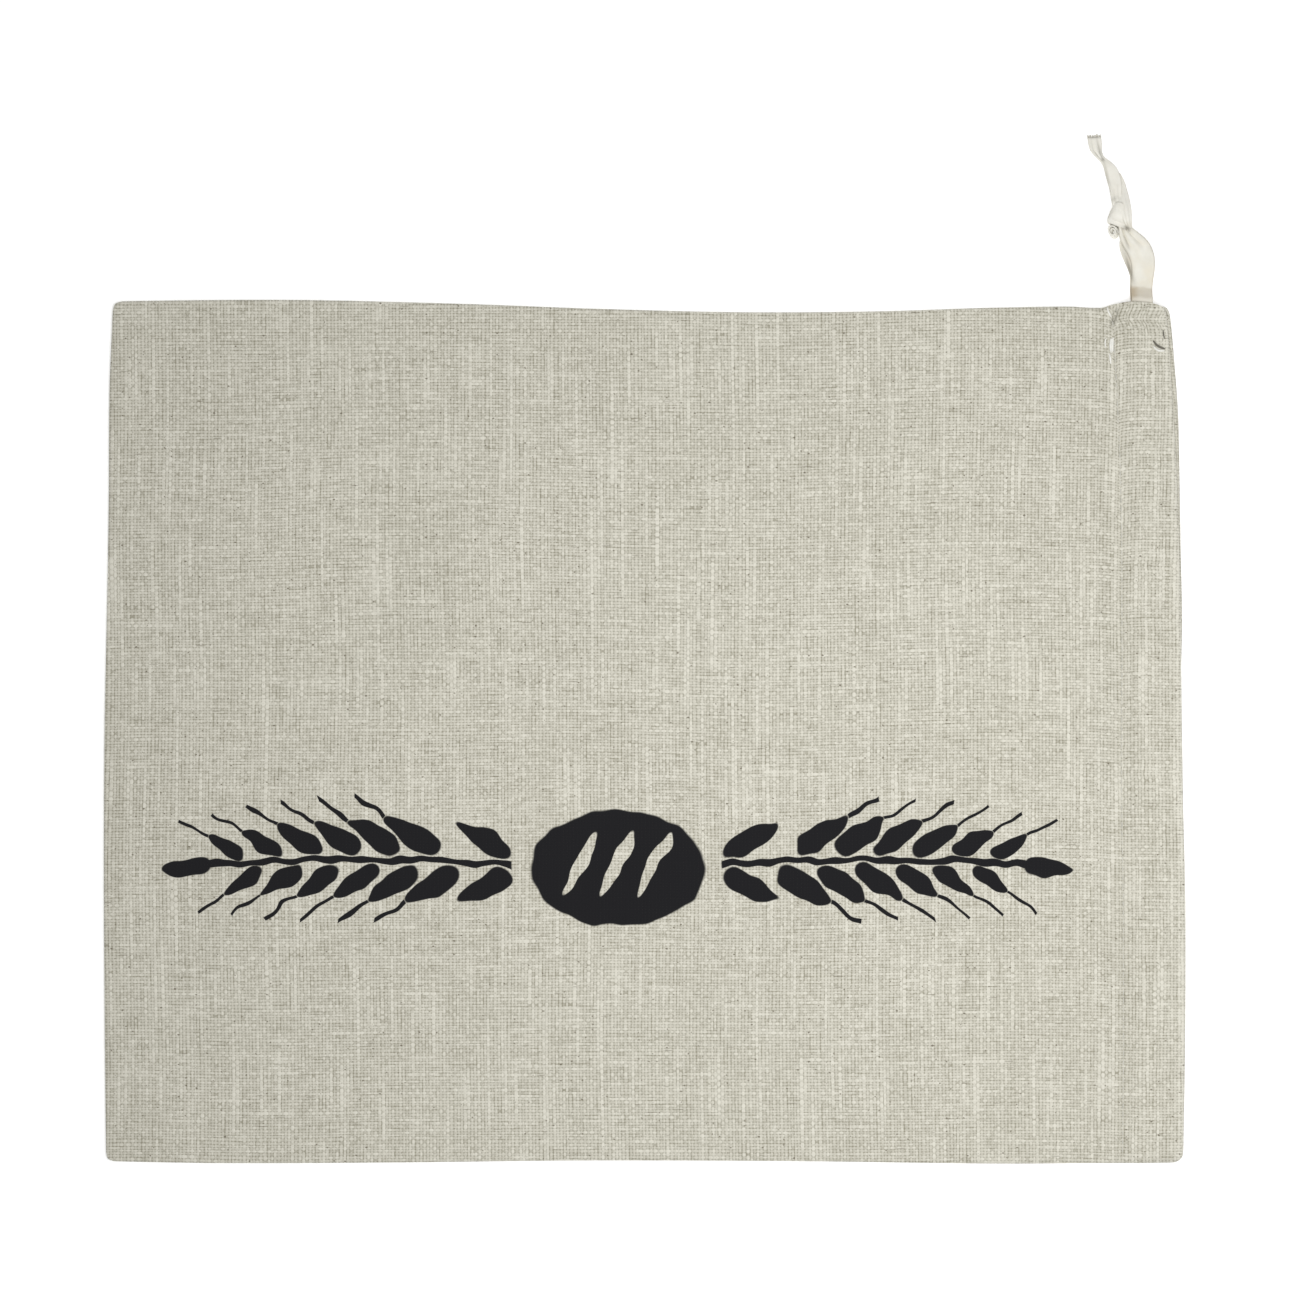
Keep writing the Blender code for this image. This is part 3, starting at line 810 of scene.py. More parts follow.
BACK_TAPE = (
    (176.4, 142.5, 1.35, 8.4, 0, 0, 0, 0),
    (176.2, 149.3, 1.35, 8.2, 0, 0, 0, 0),
    (175.8, 152.6, 1.20, 7.4, 0, 0, 0, 0),
    (175.5, 155.4, 0.75, 7.0, 0, 0, 0, 0),
    (175.4, 158.4, 0.45, 6.8, 0.1, 0, 0, 0),
    (175.3, 161.8, 0.45, 6.8, 0.2, 0, 0, 0),
    (174.5, 165.0, 0.60, 7.2, 0.4, 0, 0.1, 0),
    (173.1, 168.0, 0.75, 7.2, 0.7, 0, 0.1, 0),
    (171.6, 171.0, 0.90, 6.6, 1.1, 0, 0.1, 0),
    (171.0, 173.4, 1.05, 5.4, 1.1, 0, 0.1, 0),
    (171.4, 175.4, 1.80, 3.0, 0.9, -0.6, 0.1, 0),
    (171.4, 177.0, 3.20, 1.9, 0.8, -1.0, 0.1, 0),
    (171.0, 178.8, 4.60, 2.0, 0.4, -0.9, 0.2, 0.1),
    (170.4, 181.0, 5.50, 2.9, 0, -0.9, 0.3, 0.2),
    (170.0, 183.6, 5.45, 3.5, -0.2, -0.9, 0.3, 0.2),
    (169.6, 186.2, 4.70, 3.7, -0.3, -0.8, 0.3, 0.2),
    (169.2, 188.5, 3.50, 3.9, -0.4, -0.5, 0.3, 0.1),
    (168.6, 190.8, 2.30, 4.3, -0.3, -0.3, 0.2, 0),
    (168.0, 193.0, 1.40, 4.6, -0.2, 0, 0.1, 0),
    (167.3, 195.2, 0.80, 4.4, -0.1, 0.2, 0, 0),
    (166.7, 197.0, 0.55, 3.9, 0, 0.2, 0, 0),
)

# Painted shade in the creases of the tape: (x, y, half length, half width, direction, strength).
SHADED_TAPE_CREASES = (
    (159.3, 210.4, 2.6, 0.6, 0, 0.50),
    (161.2, 205.6, 3.8, 0.38, -76.6, 0.50),
    (162.1, 202.2, 0.7, 0.5, -45.0, 0.55),
    (163.9, 196.4, 5.2, 0.45, -76.0, 0.40),
    (165.9, 188.1, 1.5, 0.9, 25.0, 0.38),
    (164.4, 182.6, 2.8, 0.7, 65.0, 0.32),
    (170.4, 177.8, 1.4, 0.65, -20.0, 0.80),
    (170.2, 173.3, 3.0, 0.45, -70.0, 0.50),
    (171.6, 163.9, 4.4, 0.70, -72.0, 0.88),
)


def tape_shade_at(x, y):
    """How much painted shade the tape's creases give a place, 0 to 1."""
    unshaded = 1.0
    for spot_x, spot_y, half_length, half_width, direction, strength in SHADED_TAPE_CREASES:
        place = Vector((x - spot_x, y - spot_y))
        heading = Vector((math.cos(math.radians(direction)), math.sin(math.radians(direction))))
        reach = (place.dot(heading) / half_length) ** 2 + (heading.cross(place) / half_width) ** 2
        unshaded *= 1 - strength * math.exp(-reach)
    return 1 - unshaded


def new_tape(name, strips, *replaced):
    """A piece of tape from strips, each (rings of points across it, their lengths along it, width).

    It stores each point's place across and along the tape in millimetres, and its painted crease
    shade.
    """
    bm = bmesh.new()
    places = []
    for rings, lengths, width in strips:
        add_sheet(bm, rings)
        places += [(u * width / 2, along) for along in lengths for u in ACROSS]
    bmesh.ops.recalc_face_normals(bm, faces=bm.faces)
    obj = new_piece(name, bm, cotton)
    attribute = obj.data.attributes.new(TAPE_PLACE, "FLOAT_VECTOR", "POINT")
    for entry, point, place in zip(attribute.data, obj.data.vertices, places):
        # The third value is the painted shade in the tape's creases.
        entry.vector = (*place, tape_shade_at(point.co.x / MM, point.co.y / MM))
    thicken(obj, TAPE_THICKNESS)
    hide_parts(*replaced)
    return obj


def ribbon_rings(rows):
    """Rings of points across a tape, and the middle of each ring."""
    middles = []
    rings = []
    for k, (x, y, z, width, left, right, crown, pleat) in enumerate(rows):
        before = rows[max(k - 1, 0)]
        after = rows[min(k + 1, len(rows) - 1)]
        heading = Vector((after[0] - before[0], after[1] - before[1])).normalized()
        middles.append(Vector((x, y, z)))
        ring = []
        for u in ACROSS:
            rise = left * max(-u, 0.0) ** 2 + right * max(u, 0.0) ** 2
            rise += crown * (1 - u * u) + pleat * math.cos(PLEAT_WAVE * u)
            reach = u * width / 2
            level = max(z + rise, TAPE_LOWEST)
            ring.append(Vector((x + heading.y * reach, y - heading.x * reach, level)))
        rings.append(ring)
    return rings, middles


# Blender's noise_vector depends on a seed, which is otherwise taken from the clock.
NOISE_SEED = 5
# How far apart neighbouring cut threads are in the noise.
FRAY_STRIDE = 1.37
FRAY_THREADS = 22
FRAY_LENGTH = 1.1
FRAY_RADIUS = 0.11
FRAY_ROOT = 0.5
# A cut thread's least share of the length, and how far its tip and its bend stray for its length.
FRAY_LEAST = 0.55
FRAY_STRAY = 0.6
FRAY_BEND = 0.3


def make_frayed_end(name, ring, heading):
    """Short cut threads along a tape's end."""
    noise.seed_set(NOISE_SEED)
    threads = []
    for k in range(FRAY_THREADS):
        at = (k + 0.5) / FRAY_THREADS * (len(ring) - 1)
        root = ring[int(at)].lerp(ring[int(at) + 1], at % 1)
        wander = noise.noise_vector(Vector((k * FRAY_STRIDE, root.x, root.y)))
        length = FRAY_LENGTH * (FRAY_LEAST + abs(wander.x))
        side = Vector((wander.y, wander.z, FRAY_BEND * wander.x)) * (length * FRAY_STRAY)
        tip = root + heading * length + side
        tip.z = max(tip.z, FRAY_RADIUS)
        bend = root.lerp(tip, 0.5) + side * FRAY_BEND
        threads.append(((root - heading * FRAY_ROOT, bend, tip), FRAY_RADIUS))
    return new_threads(name, threads, cut_thread)


def make_free_tape(name, rows, replaced, frayed):
    """One end of the drawstring, from inside the casing to its tip."""
    rings, middles = ribbon_rings(smooth_route(rows, TAPE_STEPS))
    if frayed:
        heading = (middles[-1] - middles[-3]).normalized()
        make_frayed_end(name + "_fray", rings[-1], heading)
    obj = new_tape(name, [(rings, run_lengths(middles), TAPE_WIDTH)], *replaced)


# The knot: turns of tape round the pair, wound about an axis that lies along them.
KNOT_START = Vector((167.1, 177.4, 2.75))
KNOT_END = Vector((169.05, 188.0, 2.75))
KNOT_WINDS = (
    # (first angle, last angle, share of the axis at each, width, half width, half height, taper)
    (-105.0, 262.0, 0.30, 0.34, 5.2, 3.72, 2.50, 0.10),
    (-120.0, 275.0, 0.50, 0.57, 7.0, 3.20, 2.70, 0.24),
)
KNOT_SKEW = 0.5
KNOT_STEPS = 64
KNOT_SHARES = [step / KNOT_STEPS for step in range(KNOT_STEPS + 1)]
# A turn's width where it passes the sides, its bulge between its edges, and its lengthwise groove.
KNOT_PINCH = 0.74
KNOT_BULGE = 0.12
KNOT_GROOVE = 0.035
KNOT_GROOVE_SHIFT = 2.0
# How much less a turn tapers upwards than sideways.
KNOT_TOP_TAPER = 0.4
KNOT_TURN_LENGTH = 30.0
CURL_MIDDLE = Vector((165.9, 176.6, 2.0))
CURL_RADIUS = 1.85
CURL_INNER_RADIUS = 0.62
CURL_HEIGHT = 2.8
CURL_LEAN = Vector((-0.22, 0.16, 0.0))
CURL_START = math.radians(20)
CURL_TURN = math.radians(540)
CURL_STRETCH = (0.92, 1.22)
CURL_FLARE = 0.12
CURL_DENT = 0.10
CURL_DENT_PHASE = 1.0
CURL_INNER_HEIGHT = 0.75
CURL_LENGTH = 14.0
# The knot's place along the tape, for the cloth's pattern.
KNOT_ALONG = 100.0


def wind_strip(first, last, start_share, end_share, width, half_width, half_height, taper):
    """A strip wound about the knot's axis, pinched where it passes the sides."""
    axis = (KNOT_END - KNOT_START).normalized()
    level = axis.cross(Vector((0, 0, 1))).normalized()
    rings = []
    for share in KNOT_SHARES:
        angle = math.radians(between(first, last, share))
        middle = KNOT_START.lerp(KNOT_END, between(start_share, end_share, share))
        middle = middle - axis * (KNOT_SKEW * math.cos(angle))
        sideways = level * (math.cos(angle) * half_width)
        upwards = Vector((0, 0, math.sin(angle) * half_height))
        pinch = between(KNOT_PINCH, 1.0, abs(math.sin(angle)))
        groove = KNOT_GROOVE * math.sin(angle) ** 2
        ring = []
        for u in ACROSS:
            bulge = 1 - KNOT_BULGE * u * u
            bulge += groove * math.cos(PLEAT_WAVE * u + KNOT_GROOVE_SHIFT * math.sin(angle))
            place = middle + axis * (u * width / 2 * pinch)
            place += sideways * (bulge * (1 - taper * u))
            place += upwards * (bulge * (1 - taper * KNOT_TOP_TAPER * u))
            place.z = max(place.z, TAPE_LOWEST)
            ring.append(place)
        rings.append(ring)
    return rings, [KNOT_ALONG + share * KNOT_TURN_LENGTH for share in KNOT_SHARES], TAPE_WIDTH


def curl_strip():
    """The strip of the small scroll of tape that stands out of the knot's -X side."""
    rings = []
    for share in KNOT_SHARES:
        angle = CURL_START + CURL_TURN * share
        radius = between(CURL_RADIUS, CURL_INNER_RADIUS, share)
        wide, deep = CURL_STRETCH
        outwards = Vector((wide * math.cos(angle), deep * math.sin(angle), 0)) * radius
        dent = CURL_DENT * math.cos(2 * angle + CURL_DENT_PHASE)
        tall = CURL_HEIGHT * between(1.0, CURL_INNER_HEIGHT, share)
        ring = []
        for u in ACROSS:
            place = CURL_MIDDLE + outwards * (1 - CURL_FLARE * u + dent)
            ring.append(place + CURL_LEAN * (u * tall) + Vector((0, 0, u * tall / 2)))
        rings.append(ring)
    return rings, [KNOT_ALONG + share * CURL_LENGTH for share in KNOT_SHARES], TAPE_WIDTH / 2


def make_knot():
    """The knot's turns and the scroll beside them, as one piece."""
    strips = [wind_strip(*row) for row in KNOT_WINDS] + [curl_strip()]
    return new_tape("drawstring_knot_wraps", strips, "drawstring_knot")


FRONT_SOLIDS = ("drawstring_lead_front", "drawstring_tail_long")
BACK_SOLIDS = ("drawstring_lead_back", "drawstring_tail_short")

knot = make_knot()
make_free_tape("tape_front_end", FRONT_TAPE, FRONT_SOLIDS, frayed=True)
make_free_tape("tape_back_end", BACK_TAPE, BACK_SOLIDS, frayed=False)

# --------------------------------------
# The two linen panels. Each is one sheet: body, casing, fold at the mouth and hem turned inside.
OPEN_SIDE = (
    (-191.0, 152.0), (-182.0, 152.3), (-150.0, 152.7), (-121.0, 152.7), (-91.0, 152.1),
    (-54.0, 151.0), (-17.0, 149.6), (34.0, 148.4), (82.0, 148.7), (120.0, 149.9), (150.0, 150.4),
    (161.5, 149.9), (166.5, 151.4), (171.0, 152.1), (177.0, 151.8), (182.0, 151.0), (191.0, 150.4),
)
CLOSED_SIDE = (
    (-191.0, -151.8), (-150.0, -152.5), (-90.0, -152.3), (-20.0, -151.6), (60.0, -151.9),
    (125.0, -152.7), (165.0, -152.4), (191.0, -152.0),
)
BOTTOM_EDGE = (
    (-152.7, -190.2), (-110.0, -190.7), (-55.0, -191.0), (0.0, -190.8), (40.0, -190.0),
    (80.0, -189.3), (118.0, -189.1), (135.0, -188.5), (152.7, -187.7),
)
MOUTH_BACK = (
    (-152.7, 190.2), (-110.0, 190.9), (-60.0, 191.0), (-25.0, 190.3), (0.0, 189.9), (18.0, 189.9),
    (40.0, 190.3), (65.0, 189.8), (90.0, 189.4), (112.0, 188.9), (134.0, 187.3), (152.7, 185.6),
)
MOUTH_FRONT = (
    (-152.7, 190.2), (-110.0, 190.9), (-60.0, 191.0), (-25.0, 190.2), (10.0, 189.7), (40.0, 189.3),
    (68.0, 188.7), (89.0, 188.0), (110.0, 186.9), (134.0, 185.4), (152.7, 183.9),
)
HALF_WIDTH = 152.7
BOTTOM_CORNER = 3.2
MOUTH_CORNER = 4.0
# How far the stitch line lies from the mouth's edge, by Y.
STITCH_LINE = ((-152.7, 21.3), (-53.0, 21.8), (30.0, 20.7), (100.0, 19.6), (152.7, 19.0))

CLOTH = 0.6
# The lowest that the cloth's middle surface lies.
CLOTH_LOWEST = CLOTH / 2 + 0.08
SEAM_GAP = 0.03
SINGLE_REACH = 1.1
DOUBLE_REACH = 1.8
CASING_REACH = 2.8
INNER_MIDDLE = 0.5
CASING_RISE = 8.0
HEM_PAST_STITCH = 3.3
HEM_FADE = 8.0
HEM_REACH = HEM_PAST_STITCH + HEM_FADE
# Across the open side's end of the casing, how far its roll reaches past the stitch and fades.
ROLL_PAST_STITCH = 1.0
ROLL_FADE = 4.3
STITCH_PITCH = 3.1
VALLEY_DEPTH = 0.45
VALLEY_WIDTH = 0.8
# The share of the valley's depth that comes and goes with each stitch.
STITCH_PULL = 0.25
# Puckers and rumples: grain across and along, seed, height.
PUCKERS = ((9.0, 6.5, 4.0, 0.55), (5.0, 3.4, 8.0, 0.33))
PUCKER_REACH = 7.0
PUCKER_HIGHEST = 0.3
RUMPLES = ((38.0, 46.0, 2.0, 0.22), (15.0, 19.0, 5.0, 0.09))
RUMPLE_REACH = 8.0
LOFT = 1.5
LOFT_REACH = 60.0
# The body's long waves: height, length along X and along Y, phase.
BODY_WAVES = (
    (0.35, 150.0, 260.0, 0.6),
    (0.25, -95.0, 170.0, 2.1),
    (0.18, 70.0, -110.0, 4.0),
)
ROLL_ANGLES = (0, 14, 30, 50, 70, 90)
FOLD_ANGLES = (60, 30, 0, -30, -60, -90)
CREASE_X = 167.3
CREASE_Y = 150.4
CREASE_LEAN = 0.28
CREASE_LENGTH = 7.4
CREASE_DEPTH = 1.45
CREASE_HALF_WIDTH = 0.75
# The finer columns and rows of points that the crease needs, and the casing's share they cover.
CREASE_COLUMNS = 16
CREASE_SHARE = 0.30
CREASE_ROWS = 6
# How much of the crease each layer takes, by side and layer.
CREASE_BY_LAYER = {(1, "outer"): 1.0, (1, "inner"): 0.7, (-1, "inner"): 0.4}
# About how far apart the points of each panel are, and those of its hem and casing.
FRONT_STEP = 2.15
BACK_STEP = 3.4
FINE_STEP = 0.825
BODY_LENGTH = 352.0
CASING_LENGTH = 17.5
INNER_COLUMNS = 7
FOLD_RADIUS = (CASING_REACH - CLOTH / 2 - INNER_MIDDLE) / 2
FOLD_INSET = FOLD_RADIUS + CLOTH / 2


def hull_rise(from_mouth, stitch):
    """How far the outer face stands from the seam plane at this distance from the mouth."""
    casing = eased((stitch - from_mouth) / CASING_RISE)
    single = eased((from_mouth - stitch - HEM_PAST_STITCH) / HEM_FADE)
    return between(between(DOUBLE_REACH, SINGLE_REACH, single), CASING_REACH, casing)


# A line of the sheet's points across the bag: what its X is measured from and by how much, its
# layer, its share of the way up the bottom's roll, and its reach from the seam plane if fixed.
Column = namedtuple("Column", "origin value layer roll reach", defaults=("outer", 1.0, None))


def panel_columns(step):
    """The sheet's section along X, from the bottom to the mouth and back inside."""
    columns = []
    for turn in map(math.radians, ROLL_ANGLES):
        inset = SINGLE_REACH - (SINGLE_REACH - CLOTH / 2) * math.cos(turn)
        columns.append(Column("bottom", inset, roll=math.sin(turn)))
    count = round(BODY_LENGTH / step)
    columns += [Column("body", k / count) for k in range(1, count + 1)]
    count = round(HEM_REACH / FINE_STEP)
    columns += [Column("stitch", HEM_REACH * (1 - k / count)) for k in range(1, count + 1)]
    count = round(CASING_LENGTH / FINE_STEP)
    shares = [k / CREASE_COLUMNS * CREASE_SHARE for k in range(1, CREASE_COLUMNS)]
    shares += [k / count for k in range(1, count + 1) if k / count >= CREASE_SHARE]
    columns += [Column("casing", 1 - share) for share in shares]
    for turn in map(math.radians, FOLD_ANGLES):
        reach = INNER_MIDDLE + FOLD_RADIUS * (1 + math.sin(turn))
        columns.append(Column("fold", FOLD_RADIUS * math.cos(turn), "fold", reach=reach))
    for k in range(1, INNER_COLUMNS + 1):
        columns.append(Column("casing", k / INNER_COLUMNS, "inner", reach=INNER_MIDDLE))
    columns.append(Column("stitch", HEM_PAST_STITCH, "inner", reach=INNER_MIDDLE))
    return columns


def panel_rows(step):
    """Rows across the sheet: (side it is measured from, share of the width, angle of the roll)."""
    count = round(2 * HALF_WIDTH / step)
    rows = [("closed", 0, angle) for angle in ROLL_ANGLES]
    shares = [k / count for k in range(1, count)]
    shares += [(k - 0.5) / count for k in range(count - CREASE_ROWS, count)]
    rows += [("inside", share, 90) for share in sorted(shares)]
    rows += [("open", 1, angle) for angle in reversed(ROLL_ANGLES)]
    return rows


def column_x(column, y, mouth):
    """At this Y, the X of a column, of the bottom and of the mouth, and the stitch's distance."""
    value = column.value
    left = smooth_edge(BOTTOM_EDGE, y)
    right = smooth_edge(mouth, y)
    stitch = smooth_edge(STITCH_LINE, y)
    x = {
        "bottom": left + value,
        "body": between(left + SINGLE_REACH, right - stitch - HEM_REACH, value),
        "stitch": right - stitch - value,
        "casing": right - between(FOLD_INSET, stitch, value),
        "fold": right - FOLD_INSET + value,
    }
    return x[column.origin], left, right, stitch


def round_corner(x, y, left, right, low, high):
    """Moves a point near an outline's square corner on to the rounded one."""
    radius = BOTTOM_CORNER if x < 0 else MOUTH_CORNER
    across = 1 - abs((left if x < 0 else right) - x) / radius
    along = 1 - abs((low if y < 0 else high) - y) / radius
    if across > 0 and along > 0:
        x += math.copysign(radius, x) * across * (math.sqrt(1 - along**2 / 2) - 1)
        y += math.copysign(radius, y) * along * (math.sqrt(1 - across**2 / 2) - 1)
    return x, y


def ripples(across, along, layers):
    """The height of smooth ripples in layers, each (grain across and along, seed, height)."""
    total = 0.0
    for grain_across, grain_along, seed, height in layers:
        place = Vector((across / grain_across, along / grain_along, seed))
        total += height * noise.noise(place)
    return total


def stitch_dip(y, from_stitch):
    """How far the thread draws the cloth in at and beside the stitch line."""
    pull = 1 - STITCH_PULL + STITCH_PULL * math.cos(2 * math.pi * y / STITCH_PITCH)
    valley = VALLEY_DEPTH * pull * math.exp(-((from_stitch / VALLEY_WIDTH) ** 2))
    fade = math.exp(-((from_stitch / PUCKER_REACH) ** 2))
    return valley + fade * ripples(from_stitch, y, PUCKERS)


def seam_crease(x, y):
    """The pinch at the open side where the seam ends and the casing begins."""
    along = (CREASE_Y - y) / CREASE_LENGTH
    if along < 0 or along > 1:
        return 0.0
    line = CREASE_X - CREASE_LEAN * (CREASE_Y - y)
    depth = CREASE_DEPTH * math.sin(math.pi * along)
    return depth * math.exp(-(((x - line) / CREASE_HALF_WIDTH) ** 2))


def panel_loft(x, y, across, along):
    """How far the front panel stands above where it would lie flat, from its insets both ways."""
    share = eased(across / LOFT_REACH) * eased(along / LOFT_REACH)
    height = LOFT
    for wave, length_x, length_y, phase in BODY_WAVES:
        height += wave * math.sin(2 * math.pi * (x / length_x + y / length_y) + phase)
    near = eased(across / RUMPLE_REACH) * eased(along / RUMPLE_REACH)
    return share * height + near * ripples(x, y, RUMPLES)


def place_point(column, row, mouth, side):
    """A point of the sheet. Side is 1 for the front panel and -1 for the back one."""
    anchor, across, angle = row
    nominal_y = between(-HALF_WIDTH, HALF_WIDTH, across)
    x, _, right, stitch = column_x(column, nominal_y, mouth)
    low = smooth_edge(CLOSED_SIDE, x)
    high = smooth_edge(OPEN_SIDE, x)
    from_mouth = right - x
    hull = hull_rise(from_mouth, stitch)
    reach = hull - CLOTH / 2 if column.reach is None else column.reach
    turn = math.radians(angle)
    lateral = reach * math.cos(turn)
    rolled_up = math.sin(turn)
    if anchor == "closed":
        y = low + hull - lateral
    elif anchor == "open":
        # The seam on this side stops at the casing, whose end stays open and unrolled.
        rolled = eased((from_mouth - stitch + ROLL_PAST_STITCH) / ROLL_FADE)
        flat = (hull - CLOTH / 2) * math.cos(turn)
        y = high - hull + between(flat, lateral, rolled)
        rolled_up = between(1.0, rolled_up, rolled)
    else:
        y = between(low + hull, high - hull, across)
    share = rolled_up * column.roll
    x, left, right, stitch = column_x(column, y, mouth)
    from_mouth = right - x
    rise = SEAM_GAP + (reach - SEAM_GAP) * share
    hull = hull_rise(from_mouth, stitch)
    if column.layer == "outer":
        rise -= share * max(stitch_dip(y, from_mouth - stitch), -PUCKER_HIGHEST)
        rise = max(rise, SEAM_GAP)
    z = hull + side * rise
    if side > 0:
        across = min(x - left - SINGLE_REACH, from_mouth - stitch - HEM_REACH)
        along = min(y - low, high - y) - SINGLE_REACH
        z += panel_loft(x, y, across, along)
    z -= seam_crease(x, y) * CREASE_BY_LAYER.get((side, column.layer), 0.0)
    x, y = round_corner(x, y, left, right, low, high)
    return Vector((x, y, max(z, CLOTH_LOWEST)))


def lengths_along(line, axis):
    """How far each point of a line is along the cloth, as its place on the axis past the roll."""
    lengths = run_lengths([(point[axis], point.z) for point in line])
    roll_end = len(ROLL_ANGLES) - 1
    shift = line[roll_end][axis] - lengths[roll_end]
    return [length + shift for length in lengths]


def write_cloth_place(obj, points, mouth):
    """Stores each point's place on its sheet in millimetres, and how deep in the crease it is, which
    sets the painted shade there.

    The place is the distance along the weft, along the warp, and from the mouth's edge.
    """
    along_weft = [lengths_along(row, 0) for row in points]
    along_warp = zip(*[lengths_along(line, 1) for line in zip(*points)])
    places = []
    creases = []
    for row, wefts, warps in zip(points, along_weft, along_warp):
        for point, weft, warp in zip(row, wefts, warps):
            places += (weft, warp, smooth_edge(mouth, point.y) - point.x)
            # How deep the crease is, which sets its painted shade.
            creases += (seam_crease(point.x, point.y) / CREASE_DEPTH, 0.0, 0.0)
    for name, values in ((CLOTH_PLACE, places), (CREASE_SHADE_ATTRIBUTE, creases)):
        attribute = obj.data.attributes.new(name, "FLOAT_VECTOR", "POINT")
        attribute.data.foreach_set("vector", values)


def make_panel(name, mouth, side, step, material, replaced):
    """One panel with its hem, as a thin sheet in place of its solid."""
    columns = panel_columns(step)
    points = []
    for row in panel_rows(step):
        points.append([place_point(column, row, mouth, side) for column in columns])
    bm = bmesh.new()
    add_sheet(bm, points)
    if side < 0:
        bmesh.ops.reverse_faces(bm, faces=bm.faces)
    obj = new_piece(name, bm, material)
    write_cloth_place(obj, points, mouth)
    thicken(obj, CLOTH)
    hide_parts(replaced)
    return obj


# The tape inside the casing: along the front layer, round inside the closed side and back.
RUN_END_Y = 141.5
RUN_STEP = 6.0
RUN_TURN_STEPS = 10
RUN_FROM_MOUTH = 8.1
RUN_REACH = (INNER_MIDDLE + CASING_REACH - CLOTH / 2) / 2


def make_casing_tape():
    """The hidden run of tape, between the two layers of each casing."""
    turn_y = -HALF_WIDTH + CASING_REACH
    straight = round((RUN_END_Y - turn_y) / RUN_STEP)
    lane = [between(RUN_END_Y, turn_y, k / straight) for k in range(straight + 1)]
    route = [(y, RUN_REACH) for y in lane[:-1]]
    for k in range(RUN_TURN_STEPS + 1):
        turn = math.pi * k / RUN_TURN_STEPS
        route.append((turn_y - RUN_REACH * math.sin(turn), RUN_REACH * math.cos(turn)))
    route += [(y, -RUN_REACH) for y in reversed(lane[:-1])]
    rings = []
    for y, reach in route:
        x = smooth_edge(MOUTH_FRONT, y) - RUN_FROM_MOUTH
        rings.append([(x + u * TAPE_WIDTH / 2, y, CASING_REACH + reach) for u in ACROSS])
    new_tape("tape_in_casing", [(rings, run_lengths(route), TAPE_WIDTH)], "drawstring_run")


make_casing_tape()
front = make_panel("linen_front", MOUTH_FRONT, 1, FRONT_STEP, linen_printed, "front_panel")
back = make_panel("linen_back", MOUTH_BACK, -1, BACK_STEP, linen_plain, "back_panel")

# --------------------------------------
# Sewing: the casing's stitch line on both panels, the tack beside the drawstring's exit, and dark
# threads as painted shadow in the side slit.
THREAD_RADIUS = 0.25
THREAD_LOWEST = THREAD_RADIUS + 0.03
STITCH_LENGTH = 2.35
STITCH_BOW = 0.30
# How far the stitch line keeps from the closed side and from the open one.
LINE_START = 4.0
LINE_END = 5.0
# Loose stitches are set down on the cloth from this height.
ABOVE_CLOTH = 30.0


def stitch_height(side):
    """The cloth's outer face on the stitch line."""
    return DOUBLE_REACH + side * (DOUBLE_REACH - VALLEY_DEPTH)


def make_stitch_line(name, mouth, side):
    """The casing's stitches on the front panel's face, side 1, or on the back's, side -1."""
    stitches = []
    count = int((2 * HALF_WIDTH - LINE_START - LINE_END) / STITCH_PITCH)
    for k in range(count):
        points = []
        for share, bow in ((0.0, 0.0), (0.5, STITCH_BOW), (1.0, 0.0)):
            y = LINE_START - HALF_WIDTH + k * STITCH_PITCH + share * STITCH_LENGTH
            x = smooth_edge(mouth, y) - smooth_edge(STITCH_LINE, y)
            points.append((x, y, max(stitch_height(side) + side * bow, THREAD_LOWEST)))
        stitches.append((points, THREAD_RADIUS))
    new_threads(name, stitches, seam_thread)


def make_tack(name, rows, material):
    """Loose stitches, or dark threads as painted shadow, on the front: radius, then points (x, y,
    height above the cloth).
    """
    bpy.context.view_layer.update()
    threads = []
    for radius, *points in rows:
        lifted = []
        for x, y, rise in points:
            above = Vector((x, y, ABOVE_CLOTH)) * MM
            _, place, _, _ = front.ray_cast(above, Vector((0.0, 0.0, -1.0)))
            lifted.append((x, y, place.z / MM + rise))
        threads.append((lifted, radius))
    new_threads(name, threads, material)


PALE_TACKS = (
    (0.46, (165.6, 139.3, 0.0), (165.3, 136.9, 0.40), (165.5, 134.1, -0.05)),
    (0.46, (164.9, 139.0, 0.0), (164.6, 136.6, 0.45), (164.9, 133.8, -0.05)),
    (0.34, (164.3, 133.6, -0.05), (164.5, 131.8, 0.30), (164.8, 129.8, -0.10)),
    (0.36, (163.5, 149.9, 0.05), (164.0, 148.1, 0.35), (165.2, 146.4, -0.05)),
    (0.30, (163.1, 139.0, -0.05), (162.7, 137.4, 0.22), (163.1, 135.6, -0.10)),
    (0.40, (179.4, 136.0, 0.0), (181.2, 134.5, 0.35), (183.5, 134.4, 0.0)),
)
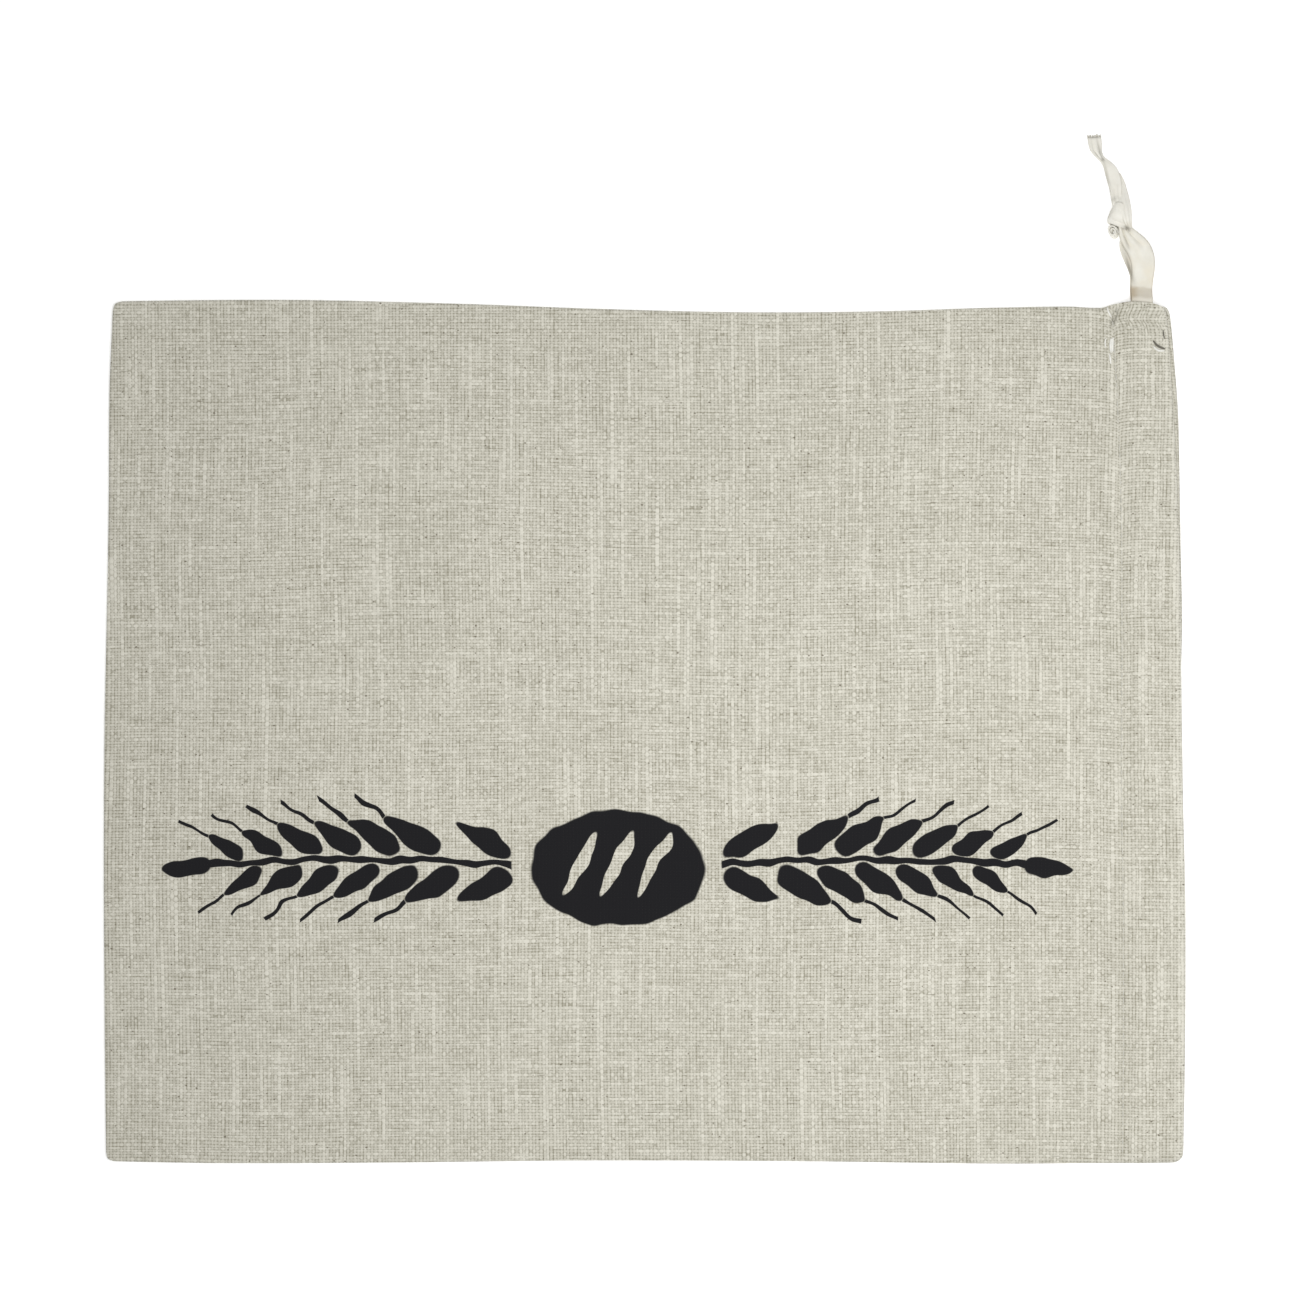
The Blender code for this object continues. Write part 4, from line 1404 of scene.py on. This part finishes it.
# Dark threads that stand in for the shade in the slit beside the drawstring's exit, a painted
# shadow.
SLIT_SHADOW_THREADS = (
    (0.42, (179.4, 138.0, 0.0), (180.8, 136.3, 0.15), (182.3, 135.5, 0.15), (183.7, 135.0, 0.0)),
    (0.24, (182.9, 141.8, 0.0), (183.1, 140.2, 0.12), (183.4, 138.6, 0.0)),
)

make_stitch_line("casing_stitches_front", MOUTH_FRONT, 1)
make_stitch_line("casing_stitches_back", MOUTH_BACK, -1)
make_tack("seam_end_stitches", PALE_TACKS, pale_thread)
# Painted shadow in the side slit, as dark threads.
make_tack("side_slit_shadow", SLIT_SHADOW_THREADS, slit_shadow_material)

# --------------------------------------
# Floor and light. These sizes and places are in metres, and the light's power in watts.
FLOOR_HALF = 4.0
FLOOR_GREY = 0.93
FLOOR_GLOW = 0.32
WORLD_LIGHT = 0.48
KEY_PLACE = (0.138, -0.03, 0.58)
KEY_SIZE = 0.40
KEY_POWER = 2.78
WHITE = (1.0, 1.0, 1.0, 1.0)


def make_floor():
    """A plain pale floor, which glows a little so that it comes out white."""
    bm = bmesh.new()
    bmesh.ops.create_grid(bm, x_segments=1, y_segments=1, size=FLOOR_HALF)
    mesh = bpy.data.meshes.new("floor")
    bm.to_mesh(mesh)
    bm.free()
    material, shader = start_material("white_floor", roughness=1.0, sheen=0.0)
    shader.inputs["Base Color"].default_value = (FLOOR_GREY, FLOOR_GREY, FLOOR_GREY, 1.0)
    shader.inputs["Specular IOR Level"].default_value = 0.0
    shader.inputs["Emission Color"].default_value = WHITE
    shader.inputs["Emission Strength"].default_value = FLOOR_GLOW
    mesh.materials.append(material)
    new_object("floor", mesh)


def light_scene():
    """An even white surrounding, and a soft key light that points straight down."""
    world = bpy.data.worlds.new("studio")
    world.use_nodes = True
    background = world.node_tree.nodes["Background"]
    background.inputs["Color"].default_value = WHITE
    background.inputs["Strength"].default_value = WORLD_LIGHT
    bpy.context.scene.world = world
    key = bpy.data.lights.new("key", "AREA")
    key.shape = "SQUARE"
    key.size = KEY_SIZE
    key.energy = KEY_POWER
    obj = new_object("key", key)
    obj.location = KEY_PLACE
    obj.visible_camera = False
    bpy.context.scene.view_settings.view_transform = "Standard"


make_floor()
light_scene()
